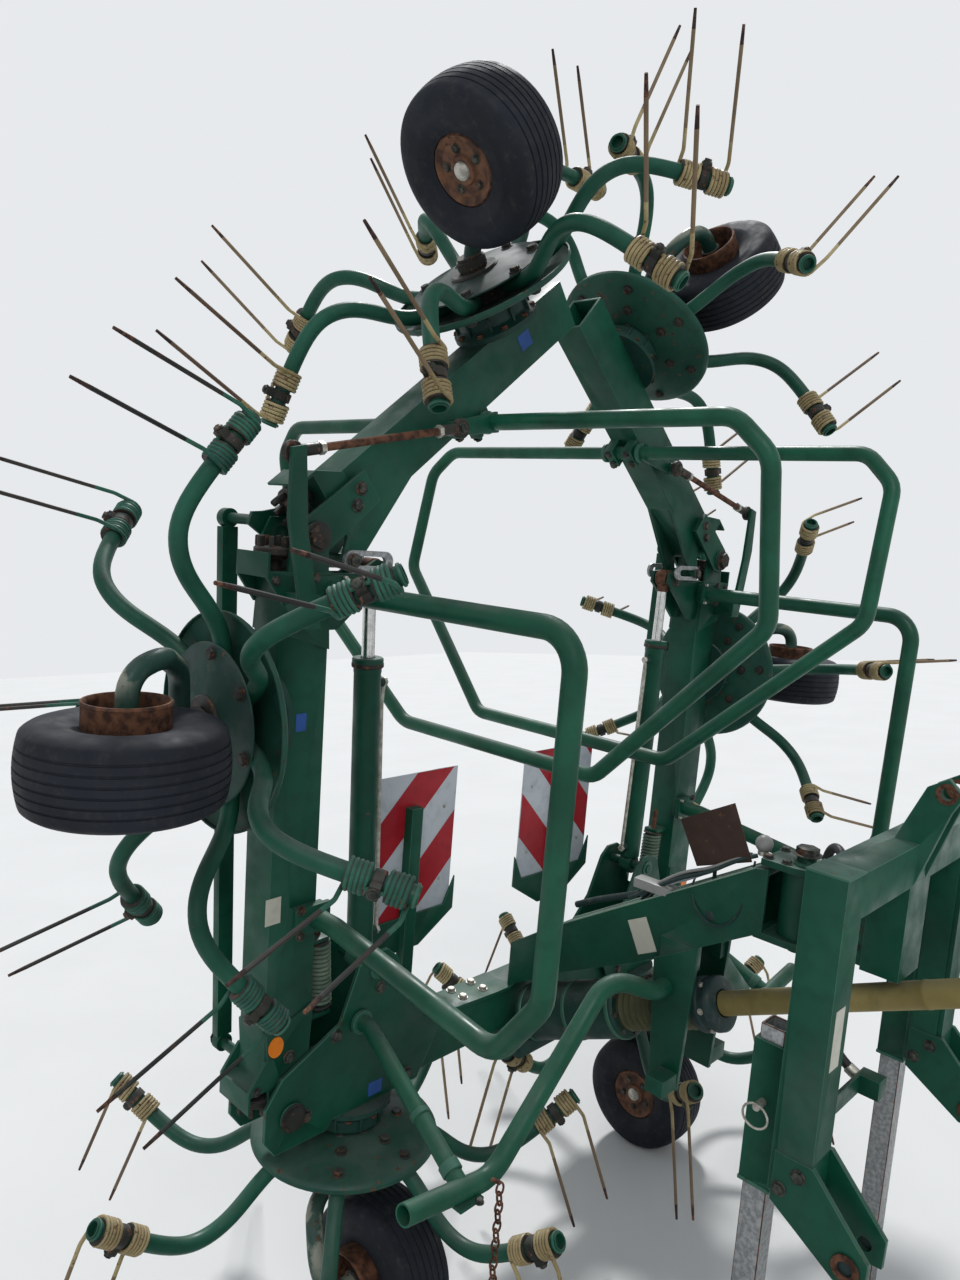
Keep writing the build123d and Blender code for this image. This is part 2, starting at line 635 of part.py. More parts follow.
def make_outer_beam():
    """The outer wing beam with its hinge plates, lift gusset and guard clamps."""
    half = beam_height / 2
    start = pivot_2_x + hinge_room
    end = pivot_2_x + outer_length
    plate_y = beam_depth / 2 + inner_ear_plate + ear_gap + ear_plate / 2
    with BuildPart() as beam:
        add_box((start, end), (-beam_depth / 2, beam_depth / 2), (pivot_z - half, pivot_z + half))
        add_box((start + cap_plate, end + 20), (-beam_depth / 2 + beam_wall, beam_depth / 2 - beam_wall),
                (pivot_z - half + beam_wall, pivot_z + half - beam_wall), mode=Mode.SUBTRACT)
        for face in (-1, 1):
            add_plate(((pivot_2_x - 34, pivot_z - 30), (pivot_2_x, pivot_z - 46),
                       (pivot_2_x + 190, pivot_z - 40), (pivot_2_x + 190, pivot_z + 40),
                       (pivot_2_x, pivot_z + 46), (pivot_2_x - 34, pivot_z + 30)),
                      face * plate_y, ear_plate)
            add_pin((pivot_2_x, face * (plate_y - 2), pivot_z), pivot_pin_d / 2, pivot_pin_length, (0, 1, 0))
            add_box((pivot_2_x + 100, pivot_2_x + 180),
                    sorted((face * (beam_depth / 2 - 2), face * plate_y)), (pivot_z - 30, pivot_z + 30))
            add_plate(((pivot_2_x + 40, pivot_z + 100), (pivot_2_x + 70, pivot_z + 134),
                       (pivot_2_x + 330, pivot_z + half - 4), (pivot_2_x + 90, pivot_z + half - 4)),
                      face * (beam_depth / 2 - 5), 10)
            link_y_out = beam_depth / 2 + slot_link_plate
            link = Plane(origin=(pivot_2_x + lift_pin[0], face * link_y_out, pivot_z + lift_pin[1]),
                         x_dir=(cos(radians(slot_link_angle)), 0, sin(radians(slot_link_angle))),
                         z_dir=(0, -face, 0))
            with BuildSketch(link) as loop:
                with Locations((slot_link_length / 2, 0)):
                    SlotCenterToCenter(slot_link_length, 2 * slot_link_r)
                with Locations((slot_link_length / 2 + slot_link_slot_r, 0)):
                    SlotCenterToCenter(slot_link_length - 2 * slot_link_slot_r, 2 * slot_link_slot_r,
                                       mode=Mode.SUBTRACT)
            extrude(loop.sketch, amount=slot_link_plate)
            add_box((pivot_2_x + bow_l - 32, pivot_2_x + bow_l + 32), sorted((face * 18, face * 48)),
                    (pivot_z + half - 2, pivot_z + bow_dz + 26))
        add_pin((pivot_2_x + lift_pin[0], 0, pivot_z + lift_pin[1]), eye_pin_r, beam_depth + 4 * slot_link_plate,
                (0, 1, 0))
        add_flange(pivot_2_x, 1)
        eye = fold_eye()
        add_plate(((pivot_2_x - 30, pivot_z), (pivot_2_x + eye[0] - 24, pivot_z + eye[1] - 8),
                   (pivot_2_x + eye[0], pivot_z + eye[1] - 24), (pivot_2_x + eye[0] + 24, pivot_z + eye[1] - 8),
                   (pivot_2_x + 60, pivot_z - 30), (pivot_2_x + 60, pivot_z)), plate_y, ear_plate)
        reach = fold_rod_y - fold_rod_box[1] / 2 - fold_eye_gap - plate_y
        add_pin((pivot_2_x + eye[0], plate_y + reach / 2, pivot_z + eye[1]), fold_pin_r, reach, (0, 1, 0))
        add_pin((pivot_2_x + bow_l, 0, pivot_z + bow_dz), bow_tube_d / 2 + running_gap, 300, (0, 1, 0),
                mode=Mode.SUBTRACT)
    return beam.part


def make_outer_drive():
    """The outer wing's gearbox, wheel leg and clutch half."""
    with BuildPart() as drive:
        add_gearbox(outer_rotor_x)
        add_wheel_leg(outer_rotor_x)
        add_clutch(pivot_2_x, 1)
    return drive.part


def make_bow():
    """The swinging outer guard, a closed loop of tube with its crank."""
    x = pivot_2_x + bow_l
    z = pivot_z + bow_dz
    corners = ((0, bow_half_width - bow_corner), (bow_corner, bow_half_width),
               (bow_side, bow_half_width), (bow_depth, bow_end_half), (bow_depth, -bow_end_half),
               (bow_side, -bow_half_width), (bow_corner, -bow_half_width),
               (0, -bow_half_width + bow_corner))
    crank_y = link_y + 26
    with BuildPart() as bow:
        add_tube([(x + dx, y, z) for dx, y in corners], bow_tube_d, bend=30, sides=8, closed=True)
        tip = crank_tip()
        add_tube(((x, crank_y, z), (pivot_2_x + tip[0], crank_y, pivot_z + tip[1])), bow_crank_d)
        add_pin((pivot_2_x + tip[0], crank_y, pivot_z + tip[1]), bow_crank_boss_r, bow_crank_d,
                (0, 1, 0))
    return bow.part


def make_barrel():
    """The lift cylinder's barrel, drawn upright at the folded wing."""
    base = Vector(cylinder_base_x, 0, cylinder_base_z)
    line = (Vector(cylinder_eye_x, 0, cylinder_eye_z) - base).normalized()
    with BuildPart() as barrel:
        add_pin(base, eye_r + 4, 44, (0, 1, 0))
        add_pin(base + line * (20 + barrel_length / 2), barrel_r, barrel_length, line)
        add_pin(base + line * (barrel_length + 8), barrel_r + 5, barrel_cap_length, line)
        add_pin(base, cylinder_pin_r + running_gap, 80, (0, 1, 0), mode=Mode.SUBTRACT)
        add_pin(base + line * (60 + barrel_length / 2), piston_rod_r + running_gap, barrel_length, line,
                mode=Mode.SUBTRACT)
    return barrel.part


def make_rod():
    """The lift cylinder's piston rod with its eye."""
    base = Vector(cylinder_base_x, 0, cylinder_base_z)
    eye = Vector(cylinder_eye_x, 0, cylinder_eye_z)
    line = (eye - base).normalized()
    length = (eye - base).length
    with BuildPart() as rod:
        add_pin(base + line * ((length + 120) / 2), piston_rod_r, length - 120, line)
        add_pin(eye, eye_r, 40, (0, 1, 0))
        add_pin(eye, eye_pin_r, 48, (0, 1, 0))
    return rod.part


def crank_tip():
    """The crank's end from the outer hinge, in x and z, with the swinging guard let down."""
    angle = radians(bow_crank_angle)
    return bow_l + bow_crank * cos(angle), bow_dz + bow_crank * sin(angle)


def turned(point, centre, angle):
    """A point of x and z turned up about a centre."""
    a = radians(angle)
    dx = point[0] - centre[0]
    dz = point[1] - centre[1]
    return centre[0] + dx * cos(a) - dz * sin(a), centre[1] + dx * sin(a) + dz * cos(a)


def make_link_rod():
    """The push rod from the inner wing's arm to the crank of the swinging guard."""
    start = Vector(pivot_2_x + link_arm_l, link_y, pivot_z + link_arm_dz)
    tip = turned(turned(crank_tip(), (bow_l, bow_dz), bow_fold), (0, 0), outer_fold)
    end = Vector(pivot_2_x + tip[0], link_y, pivot_z + tip[1])
    with BuildPart() as rod:
        add_tube((tuple(start), tuple(end)), link_rod_d)
        for point in (start, end):
            add_pin(point, link_eye_r, link_eye_width, (0, 1, 0))
        add_pin(start, link_pin_r + running_gap, 40, (0, 1, 0), mode=Mode.SUBTRACT)
        add_pin(end + Vector(0, 9, 0), link_pin_r, 5, (0, 1, 0))
    return rod.part


def fold_eye():
    """The fold rod's pin on the outer beam, from the outer hinge, in x and z of the working position."""
    angle = radians(fold_eye_angle - inner_fold - outer_fold)
    return fold_eye_r * cos(angle), fold_eye_r * sin(angle)


def make_fold_rod():
    """The flat rod that folds the outer wing, drawn upright at the folded wing."""
    base = Vector(pivot_x + fold_base[0], fold_rod_y, pivot_z + fold_base[1])
    hinge = turned((pivot_2_x, pivot_z), (pivot_x, pivot_z), inner_fold)
    angle = radians(fold_eye_angle)
    eye = Vector(hinge[0] + fold_eye_r * cos(angle), fold_rod_y, hinge[1] + fold_eye_r * sin(angle))
    line = (eye - base).normalized()
    width, depth = fold_rod_box
    with BuildPart() as rod:
        with BuildSketch(Plane(origin=base + line * 20, x_dir=(0, 1, 0), z_dir=line)) as section:
            Rectangle(depth, width)
        extrude(section.sketch, amount=(eye - base).length - 40)
        for point in (base, eye):
            add_pin(point, width / 2 + 2, depth, (0, 1, 0))
        add_pin(base, fold_pin_r + running_gap, 2 * depth, (0, 1, 0), mode=Mode.SUBTRACT)
    return rod.part


def make_boards():
    """Two blank striped boards on posts behind the middle beam."""
    with BuildPart() as boards:
        for side in (-1, 1):
            x = side * board_x
            add_box((x - board_width / 2, x + board_width / 2),
                    (board_y - board_plate / 2, board_y + board_plate / 2),
                    (board_low_z, board_low_z + board_height))
    return boards.part


def make_board_posts():
    """The posts and lobed holders of the boards."""
    with BuildPart() as posts:
        for side in (-1, 1):
            x = side * board_x
            back = board_y - board_plate / 2 - running_gap
            across = (x - post_half, x + post_half)
            add_box(across, (beam_depth / 2, board_y - 5), (pivot_z - 20, pivot_z + 40))
            add_box(across, (back - post_depth, back), (pivot_z - 20, board_low_z + 330))
            add_plate(((x - 190, board_low_z + 90), (x - 190, board_low_z - 10), (x - 60, board_low_z - 90),
                       (x + 60, board_low_z - 90), (x + 190, board_low_z - 10), (x + 190, board_low_z + 90),
                       (x + 150, board_low_z + 10), (x - 150, board_low_z + 10)), back - holder_plate / 2,
                      holder_plate)
    return posts.part


def make_centre_guard():
    """The bent tube that keeps people off the middle rotors, with its strut, for the far side."""
    with BuildPart() as guard:
        side_plate = 85 + running_gap
        add_tube(((side_plate, -580, 440), (130, -580, 440), (220, -500, 474), (598, -500, 128),
                  (860, -500, 170)), guard_tube_d, bend=20)
        frame_plate = beam_depth / 2 + inner_ear_plate + ear_gap + ear_plate + running_gap
        add_tube(((640, -frame_plate, 320), (640, -frame_plate - 40, 320), (690, -500, 142)), strut_tube_d,
                 bend=12)
    return guard.part


def make_hose():
    """The hydraulic hose that hangs at the headstock."""
    radii = []
    for a, b, c in zip(hose_route, hose_route[1:], hose_route[2:]):
        before = Vector(*b) - Vector(*a)
        after = Vector(*c) - Vector(*b)
        turn = before.get_angle(after)
        radii.append(0.45 * min(before.length, after.length) / tan(radians(turn / 2)))
    print("hose radii", [round(r) for r in radii])
    with BuildPart() as hose:
        with BuildLine():
            route = FilletPolyline(*hose_route, radius=radii)
        with BuildSketch(Plane(origin=route @ 0, z_dir=route % 0)):
            RegularPolygon(hose_d / 2, 8)
        sweep()
    return hose.part


def publish(shape, name):
    shape.label = name
    export_step(shape, "parts/" + name + ".step")


os.makedirs("parts", exist_ok=True)

single = (
    ("centre_frame", make_centre_frame()),
    ("centre_drive", make_centre_drive()),
    ("pto_guard", make_pto_guard()),
    ("boom", make_boom()),
    ("headstock", make_headstock()),
    ("board_posts", make_board_posts()),
    ("warning_boards", make_boards()),
    ("hose", make_hose()),
)
for name, shape in single:
    publish(set_down(shape, "centre"), name)

# name, shape drawn for the far side, segment that it folds with
paired = [
    ("centre_guard", make_centre_guard(), "centre"),
    ("stand", make_stand(), "centre"),
    ("lift_barrel", make_barrel(), "centre"),
    ("lift_rod", make_rod(), "centre"),
    ("fold_rod", make_fold_rod(), "centre"),
    ("inner_beam", make_inner_beam(), "inner"),
    ("inner_drive", make_inner_drive(), "inner"),
    ("inner_guard", make_inner_guard(), "inner"),
    ("guard_link", make_link_rod(), "inner"),
    ("outer_beam", make_outer_beam(), "outer"),
    ("outer_drive", make_outer_drive(), "outer"),
    ("guard_bow", make_bow(), "bow"),
]
stations = (("centre", centre_rotor_x), ("inner", inner_rotor_x), ("outer", outer_rotor_x))
tyre_shape = make_tyre()
rim_shape = make_rim()
for station, hub_x in stations:
    paired.append((station + "_tyre", tyre_shape.moved(Location((hub_x, 0, 0))), station))
    paired.append((station + "_rim", rim_shape.moved(Location((hub_x, 0, 0))), station))
for name, shape, segment in paired:
    far = set_down(shape, segment)
    publish(far, "far_" + name)
    publish(far.mirror(Plane.YZ), "near_" + name)

# The arms of neighbours stand half a step apart, and neighbours turn against each other.
half_step = 180 / arm_count
rotor_shape = make_rotor()
for index, (station, hub_x) in enumerate(stations):
    sign = -1 if index % 2 == 0 else 1
    seat = Location((hub_x, 0, 0))
    near = set_down(rotor_shape.rotate(Axis.Z, -sign * rotor_turn).moved(seat), station)
    publish(near.mirror(Plane.YZ), "near_" + station + "_rotor")
    far = set_down(rotor_shape.rotate(Axis.Z, -sign * (rotor_turn - half_step)).moved(seat), station)
    publish(far, "far_" + station + "_rotor")
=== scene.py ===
import bpy
import bmesh
import json
from math import cos, pi, radians, sin, tan
from mathutils import Matrix, Vector


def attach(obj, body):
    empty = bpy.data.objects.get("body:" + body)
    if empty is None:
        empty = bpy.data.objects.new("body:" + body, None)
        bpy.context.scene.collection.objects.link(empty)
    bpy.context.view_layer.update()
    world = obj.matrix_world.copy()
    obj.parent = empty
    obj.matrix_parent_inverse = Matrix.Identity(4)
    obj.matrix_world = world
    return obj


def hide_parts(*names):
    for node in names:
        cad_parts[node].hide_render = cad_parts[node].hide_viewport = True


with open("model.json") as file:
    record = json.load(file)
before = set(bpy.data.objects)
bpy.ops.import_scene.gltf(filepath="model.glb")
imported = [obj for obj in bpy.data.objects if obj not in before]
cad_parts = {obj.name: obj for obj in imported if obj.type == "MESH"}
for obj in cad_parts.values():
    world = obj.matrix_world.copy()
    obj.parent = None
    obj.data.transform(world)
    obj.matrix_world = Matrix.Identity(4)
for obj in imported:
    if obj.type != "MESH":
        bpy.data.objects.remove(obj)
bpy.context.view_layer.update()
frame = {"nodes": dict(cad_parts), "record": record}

# Sizes are in millimetres, in the machine's working position: x outward from the middle,
# y to the rear, z up from the plane of the rotor discs. Segments fold and tip as in the frame.
MM = 0.001
ROW_PITCH = 7.5
ROW_Y = 389
ROTOR_X = {"centre": 600, "inner": 1770, "outer": 2980}
PIVOT_1 = (830, 150)
PIVOT_2 = (2170, 150)
INNER_FOLD = 89
OUTER_FOLD = 51.5
BOW_FOLD = 118
BOW_BAR = (2762, 239)
ARM_COUNT = 7
ROTOR_TURN = 4.2
TYRE_R = 184
WHEEL = (-13, -159, -304)
HINGE_ROOM = 78
DISC_HEIGHT = TYRE_R - WHEEL[1] * sin(radians(ROW_PITCH)) - WHEEL[2] * cos(radians(ROW_PITCH))
SIDES = {"far": 1, "near": -1}
STATIONS = ("centre", "inner", "outer")
STATION_SIGN = {"centre": -1, "inner": 1, "outer": -1}

record = frame["record"]
BODY_OF = {node: body for body, nodes in record["behaviour"]["bodies"].items() for node in nodes}
SLOT_OF = {part["node"]: part["material_slot"] for part in record["subparts"]}


def shift(x, y, z):
    """The matrix of a move."""
    return Matrix.Translation((x, y, z))


def spin(angle, axis="Z"):
    """The matrix of a turn about an axis, in radians."""
    return Matrix.Rotation(angle, 4, axis)


def put(name, data):
    """A new object in the scene."""
    thing = bpy.data.objects.new(name, data)
    bpy.context.scene.collection.objects.link(thing)
    return thing


def turn_about(point, angle):
    """A turn of the far side about a hinge line along y, up for a positive angle, in millimetres."""
    x, z = point
    return shift(x, 0, z) @ spin(radians(-angle), "Y") @ shift(-x, 0, -z)


def seat(segment, side):
    """The matrix from a segment's working position in millimetres to the frame in metres."""
    m = Matrix.Scale(MM, 4) @ shift(0, ROW_Y, DISC_HEIGHT) @ spin(radians(ROW_PITCH), "X")
    if SIDES[side] < 0:
        m = m @ Matrix.Scale(-1, 4, (1, 0, 0))
    if segment != "centre":
        m = m @ turn_about(PIVOT_1, INNER_FOLD)
    if segment in ("outer", "bow"):
        m = m @ turn_about(PIVOT_2, OUTER_FOLD)
    if segment == "bow":
        m = m @ turn_about(BOW_BAR, BOW_FOLD)
    return m


# Camera, at the photograph's place and angle
EYE = Vector((-2.071, -1.910 + ROW_Y * MM, 1.802))
LOOK = (0.7236, 0.6902)
LOOK_DOWN = 1.58
ROLL = -0.958
FOCAL_PIXELS = 940.4
IMAGE_HEIGHT = 1280
SENSOR = 36.0


def make_camera():
    """A camera with the photograph's place, direction and angle of view."""
    data = bpy.data.cameras.new("camera")
    data.sensor_fit = "VERTICAL"
    data.sensor_height = SENSOR
    data.lens = FOCAL_PIXELS / IMAGE_HEIGHT * SENSOR
    data.clip_end = 60
    camera = put("camera", data)
    forward = Vector((LOOK[0], LOOK[1], -tan(radians(LOOK_DOWN)))).normalized()
    right = forward.cross(Vector((0, 0, 1))).normalized()
    up = right.cross(forward)
    r = radians(ROLL)
    x_axis = right * cos(r) + up * sin(r)
    y_axis = up * cos(r) - right * sin(r)
    camera.matrix_world = Matrix.Translation(EYE) @ Matrix((
        (x_axis.x, y_axis.x, -forward.x, 0), (x_axis.y, y_axis.y, -forward.y, 0),
        (x_axis.z, y_axis.z, -forward.z, 0), (0, 0, 0, 1)))
    bpy.context.scene.camera = camera


make_camera()


# Materials
class Tree:
    """A short way to write a node tree."""

    def __init__(self, tree):
        self.tree = tree

    def feed(self, socket, value):
        """Sets a socket to a number or a colour, or links an output to it."""
        if isinstance(value, (int, float)):
            socket.default_value = value
        elif isinstance(value, tuple):
            socket.default_value = (*value, 1)
        else:
            self.tree.links.new(value, socket)

    def make(self, kind, feeds, **values):
        """A node's outputs, with its sockets fed and its settings made."""
        node = self.tree.nodes.new(kind)
        for key, value in values.items():
            setattr(node, key, value)
        for key, value in feeds.items():
            self.feed(node.inputs[key], value)
        return node.outputs


class Nodes(Tree):
    """The nodes of a material."""

    def __init__(self, name):
        self.material = bpy.data.materials.new(name)
        self.material.use_nodes = True
        super().__init__(self.material.node_tree)
        self.shader = self.tree.nodes["Principled BSDF"]
        self.place = self.make("ShaderNodeTexCoord", {})["Object"]

    def noise(self, scale, detail=4.0, rough=0.55):
        feeds = {"Scale": scale, "Detail": detail, "Roughness": rough, "Vector": self.place}
        return self.make("ShaderNodeTexNoise", feeds)["Fac"]

    def ramp(self, source, low, high, to_low=0.0, to_high=1.0):
        feeds = {"From Min": low, "From Max": high, "To Min": to_low, "To Max": to_high, "Value": source}
        return self.make("ShaderNodeMapRange", feeds, interpolation_type="SMOOTHSTEP")["Result"]

    def times(self, a, b):
        return self.make("ShaderNodeMath", {0: a, 1: b}, operation="MULTIPLY")[0]

    def mix(self, share, a, b):
        return self.make("ShaderNodeMix", {0: share, 6: a, 7: b}, data_type="RGBA")[2]

    def upward(self, low=0.3, high=0.95):
        """How far a surface faces up."""
        normal = self.make("ShaderNodeNewGeometry", {})["Normal"]
        return self.ramp(self.make("ShaderNodeSeparateXYZ", {0: normal})["Z"], low, high)

    def finish(self, colour, rough, height, bump=0.2, depth=0.001, metal=0.0):
        """The finished material, with bumps from a height, their strength and their depth."""
        feeds = {"Strength": bump, "Distance": depth, "Height": height}
        normal = self.make("ShaderNodeBump", feeds)["Normal"]
        for name, value in (("Base Color", colour), ("Roughness", rough), ("Metallic", metal),
                            ("Coat Weight", 0.0), ("Specular IOR Level", SHINE), ("Normal", normal)):
            self.feed(self.shader.inputs[name], value)
        return self.material


SHINE = 0.25
RUST_DARK = (0.042, 0.020, 0.014)
RUST_LIGHT = (0.15, 0.066, 0.036)
DUST = (0.145, 0.155, 0.145)


def painted(name, dark, light, rust=0.62, dust=0.35, rough=(0.34, 0.62), scale=1.0, peeled=None):
    """Weathered paint: clouds of shade, fine specks, dust on what faces up and spots of rust."""
    n = Nodes(name)
    clouds = n.ramp(n.noise(3.2 * scale), 0.3, 0.7)
    colour = n.mix(clouds, dark, light)
    streaks = n.ramp(n.noise(26 * scale, 6), 0.45, 0.75, 0.0, 0.35)
    colour = n.mix(streaks, colour, tuple(0.55 * v for v in dark))
    dusty = n.times(n.upward(), n.ramp(n.noise(9 * scale, 6), 0.3, 0.75, 0.15 * dust, dust))
    colour = n.mix(dusty, colour, DUST)
    if peeled:
        patches = n.times(n.ramp(n.noise(11, 5), 0.44, 0.52), n.upward(-0.2, 0.5))
        colour = n.mix(patches, colour, peeled)
    spots = n.ramp(n.noise(38 * scale, 8, 0.68), rust, rust + 0.05)
    rust_colour = n.mix(n.ramp(n.noise(120), 0.35, 0.65), RUST_DARK, RUST_LIGHT)
    colour = n.mix(spots, colour, rust_colour)
    roughness = n.ramp(n.noise(14 * scale, 5), 0.3, 0.7, rough[0], rough[1])
    return n.finish(colour, roughness, n.noise(70, 5), 0.18, 0.0008)


def metal_look(name, dark, light, metal, rough, rust=0.66, fine=60):
    """Bare or plated metal with stains."""
    n = Nodes(name)
    colour = n.mix(n.ramp(n.noise(fine, 4), 0.35, 0.65), dark, light)
    spots = n.ramp(n.noise(30, 8, 0.7), rust, rust + 0.07)
    colour = n.mix(spots, colour, n.mix(n.ramp(n.noise(90), 0.4, 0.6), RUST_DARK, RUST_LIGHT))
    bare = n.ramp(spots, 0, 1, metal, 0.1)
    roughness = n.ramp(n.noise(18, 5), 0.3, 0.7, rough[0], rough[1])
    return n.finish(colour, roughness, n.noise(90, 4), 0.15, 0.0006, metal=bare)


def rubber_look(name, dark, light, rough=0.78, dust=0.4):
    """Rubber or plastic with a fine grain and dust in patches."""
    n = Nodes(name)
    colour = n.mix(n.ramp(n.noise(5, 5), 0.3, 0.7), dark, light)
    colour = n.mix(n.ramp(n.noise(45, 8, 0.7), 0.5, 0.8, 0, dust), colour, (0.16, 0.145, 0.12))
    return n.finish(colour, n.ramp(n.noise(20), 0.3, 0.7, rough - 0.1, rough + 0.1), n.noise(160, 5), 0.25,
                    0.0005)


GREEN = painted("green_paint", (0.0022, 0.042, 0.024), (0.006, 0.078, 0.044), 0.69, 0.38)
GREEN_EDGE = painted("green_paint_worn", (0.016, 0.088, 0.058), (0.05, 0.145, 0.10), 0.6, 0.3)
GREEN_ARM = painted("green_arm_paint", (0.003, 0.048, 0.028), (0.011, 0.092, 0.055), 0.67, 0.42,
                    (0.38, 0.66))
GREEN_DEEP = painted("dark_green_cast", (0.004, 0.026, 0.020), (0.012, 0.050, 0.036), 0.63, 0.4,
                     (0.42, 0.72))
GREEN_PAN = painted("green_pan_paint", (0.006, 0.044, 0.030), (0.018, 0.082, 0.055), 0.6, 0.45, (0.4, 0.7))
GREEN_COIL = painted("green_coil_paint", (0.008, 0.062, 0.042), (0.032, 0.13, 0.088), 0.62, 0.3,
                     (0.4, 0.7), 2)
YELLOW_COIL = painted("yellow_coil_paint", (0.24, 0.18, 0.085), (0.43, 0.345, 0.18), 0.58, 0.2,
                      (0.4, 0.7), 2)
TINE = painted("tine_paint", (0.10, 0.062, 0.040), (0.25, 0.18, 0.105), 0.63, 0.2, (0.45, 0.75), 0.6)
TINE_DARK = painted("dark_tine_paint", (0.012, 0.014, 0.013), (0.045, 0.038, 0.034), 0.62, 0.3,
                    (0.4, 0.7), 0.6)
TINE_TIP = metal_look("tine_tip_rust", (0.022, 0.014, 0.013), (0.060, 0.034, 0.028), 0.3, (0.5, 0.75), 0.5)
RUST = metal_look("rusty_steel", RUST_DARK, RUST_LIGHT, 0.15, (0.65, 0.9), 0.55, 45)
CAST = painted("cast_iron_grease", (0.012, 0.014, 0.012), (0.035, 0.032, 0.026), 0.56, 0.5,
               (0.4, 0.75), 1.5)
STEEL = metal_look("plated_steel", (0.30, 0.29, 0.25), (0.52, 0.50, 0.45), 0.75, (0.35, 0.6), 0.6)
CHROME = metal_look("rod_chrome", (0.50, 0.50, 0.49), (0.66, 0.66, 0.64), 1.0, (0.12, 0.3), 0.78)
GALV = metal_look("galvanised_steel", (0.22, 0.23, 0.235), (0.36, 0.37, 0.37), 0.7, (0.4, 0.62), 0.7, 110)
TYRE = rubber_look("tyre_rubber", (0.004, 0.0055, 0.009), (0.012, 0.015, 0.022), 0.72, 0.16)
HOSE = rubber_look("hose_rubber", (0.012, 0.012, 0.013), (0.024, 0.024, 0.025), 0.5, 0.15)
BELLOWS = rubber_look("bellows_plastic", (0.030, 0.034, 0.016), (0.095, 0.095, 0.042), 0.6, 0.5)
COLLAR = rubber_look("collar_plastic", (0.010, 0.026, 0.026), (0.022, 0.045, 0.043), 0.5, 0.4)
TUBE = painted("yellow_tube_plastic", (0.20, 0.155, 0.05), (0.36, 0.285, 0.11), 0.72, 0.5, (0.45, 0.7))
RED = painted("board_red", (0.30, 0.008, 0.016), (0.42, 0.016, 0.026), 0.73, 0.25, (0.3, 0.5))
WHITE = painted("board_white", (0.40, 0.43, 0.47), (0.54, 0.57, 0.61), 0.74, 0.3, (0.3, 0.5))
LEG_PAINT = painted("wheel_leg_paint", (0.008, 0.040, 0.030), (0.03, 0.075, 0.058), 0.6, 0.4, (0.35, 0.6),
                    peeled=(0.24, 0.25, 0.20))
GUARD_PAINT = painted("guard_tube_paint", (0.003, 0.052, 0.028), (0.010, 0.098, 0.054), 0.68, 0.42,
                      (0.32, 0.58))
SPRING_PAINT = painted("spring_paint", (0.06, 0.11, 0.08), (0.16, 0.21, 0.15), 0.62, 0.3, (0.4, 0.65), 2)
LIP = painted("pale_worn_lip", (0.13, 0.22, 0.17), (0.30, 0.38, 0.31), 0.62, 0.3, (0.35, 0.6))
RIM_RUST = metal_look("rim_dish_rust", (0.055, 0.03, 0.022), (0.17, 0.08, 0.045), 0.1, (0.6, 0.85), 0.6, 30)
BLUE = painted("blue_paint_mark", (0.015, 0.06, 0.22), (0.03, 0.10, 0.34), 0.75, 0.2)
ORANGE = painted("orange_reflector", (0.72, 0.17, 0.012), (0.85, 0.26, 0.02), 0.9, 0.05, (0.12, 0.25))
STICKER = painted("blank_sticker", (0.44, 0.43, 0.36), (0.58, 0.56, 0.47), 0.74, 0.3, (0.35, 0.55))
BOLT = metal_look("dark_bolts", (0.022, 0.026, 0.022), (0.085, 0.085, 0.072), 0.4, (0.45, 0.7), 0.56)
PLATE = painted("brown_plate", (0.028, 0.016, 0.012), (0.06, 0.032, 0.024), 0.6, 0.4, (0.4, 0.6))
LAMP = painted("grey_lamp", (0.20, 0.20, 0.19), (0.32, 0.32, 0.30), 0.74, 0.4, (0.3, 0.5))


# Shapes: each function returns points and faces in millimetres
def frame_at(origin, z_axis, x_hint=(1, 0, 0)):
    """The matrix that puts a shape's z along a direction at a point."""
    z = Vector(z_axis).normalized()
    x = Vector(x_hint) - z * Vector(x_hint).dot(z)
    if x.length < 1e-6:
        x = Vector((0, 1, 0)) - z * z.y
    x.normalize()
    y = z.cross(x)
    o = Vector(origin)
    return Matrix(((x.x, y.x, z.x, o.x), (x.y, y.y, z.y, o.y), (x.z, y.z, z.z, o.z), (0, 0, 0, 1)))


def lathe(profile, sides=32):
    """A shape turned about z, closed where its profile meets the axis."""
    points, faces = [], []
    rings = []
    for r, z in profile:
        if r < 1e-4:
            rings.append([len(points)])
            points.append(Vector((0, 0, z)))
        else:
            rings.append(list(range(len(points), len(points) + sides)))
            for i in range(sides):
                a = 2 * pi * i / sides
                points.append(Vector((r * cos(a), r * sin(a), z)))
    for low, high in zip(rings, rings[1:]):
        for i in range(sides):
            j = (i + 1) % sides
            if len(low) == 1 and len(high) == 1:
                continue
            if len(low) == 1:
                faces.append((low[0], high[j], high[i]))
            elif len(high) == 1:
                faces.append((low[i], low[j], high[0]))
            else:
                faces.append((low[i], low[j], high[j], high[i]))
    return points, faces


BEND_STEP = 9.0


def rounded(route, radius):
    """A route of points with its corners rounded."""
    pts = [Vector(p) for p in route]
    out = [pts[0]]
    for before, here, after in zip(pts, pts[1:], pts[2:]):
        a, b = before - here, after - here
        turn = pi - a.angle(b)
        reach = min(radius * tan(turn / 2), 0.48 * a.length, 0.48 * b.length)
        if turn < 0.02:
            out.append(here)
            continue
        r = reach / tan(turn / 2)
        a.normalize()
        b.normalize()
        centre = here + (a + b).normalized() * (r / cos(turn / 2))
        count = max(3, int(turn / radians(BEND_STEP)))
        start = here + a * reach - centre
        axis = start.cross(here + b * reach - centre).normalized()
        for i in range(count + 1):
            out.append(centre + Matrix.Rotation(turn * i / count, 3, axis) @ start)
    out.append(pts[-1])
    return out


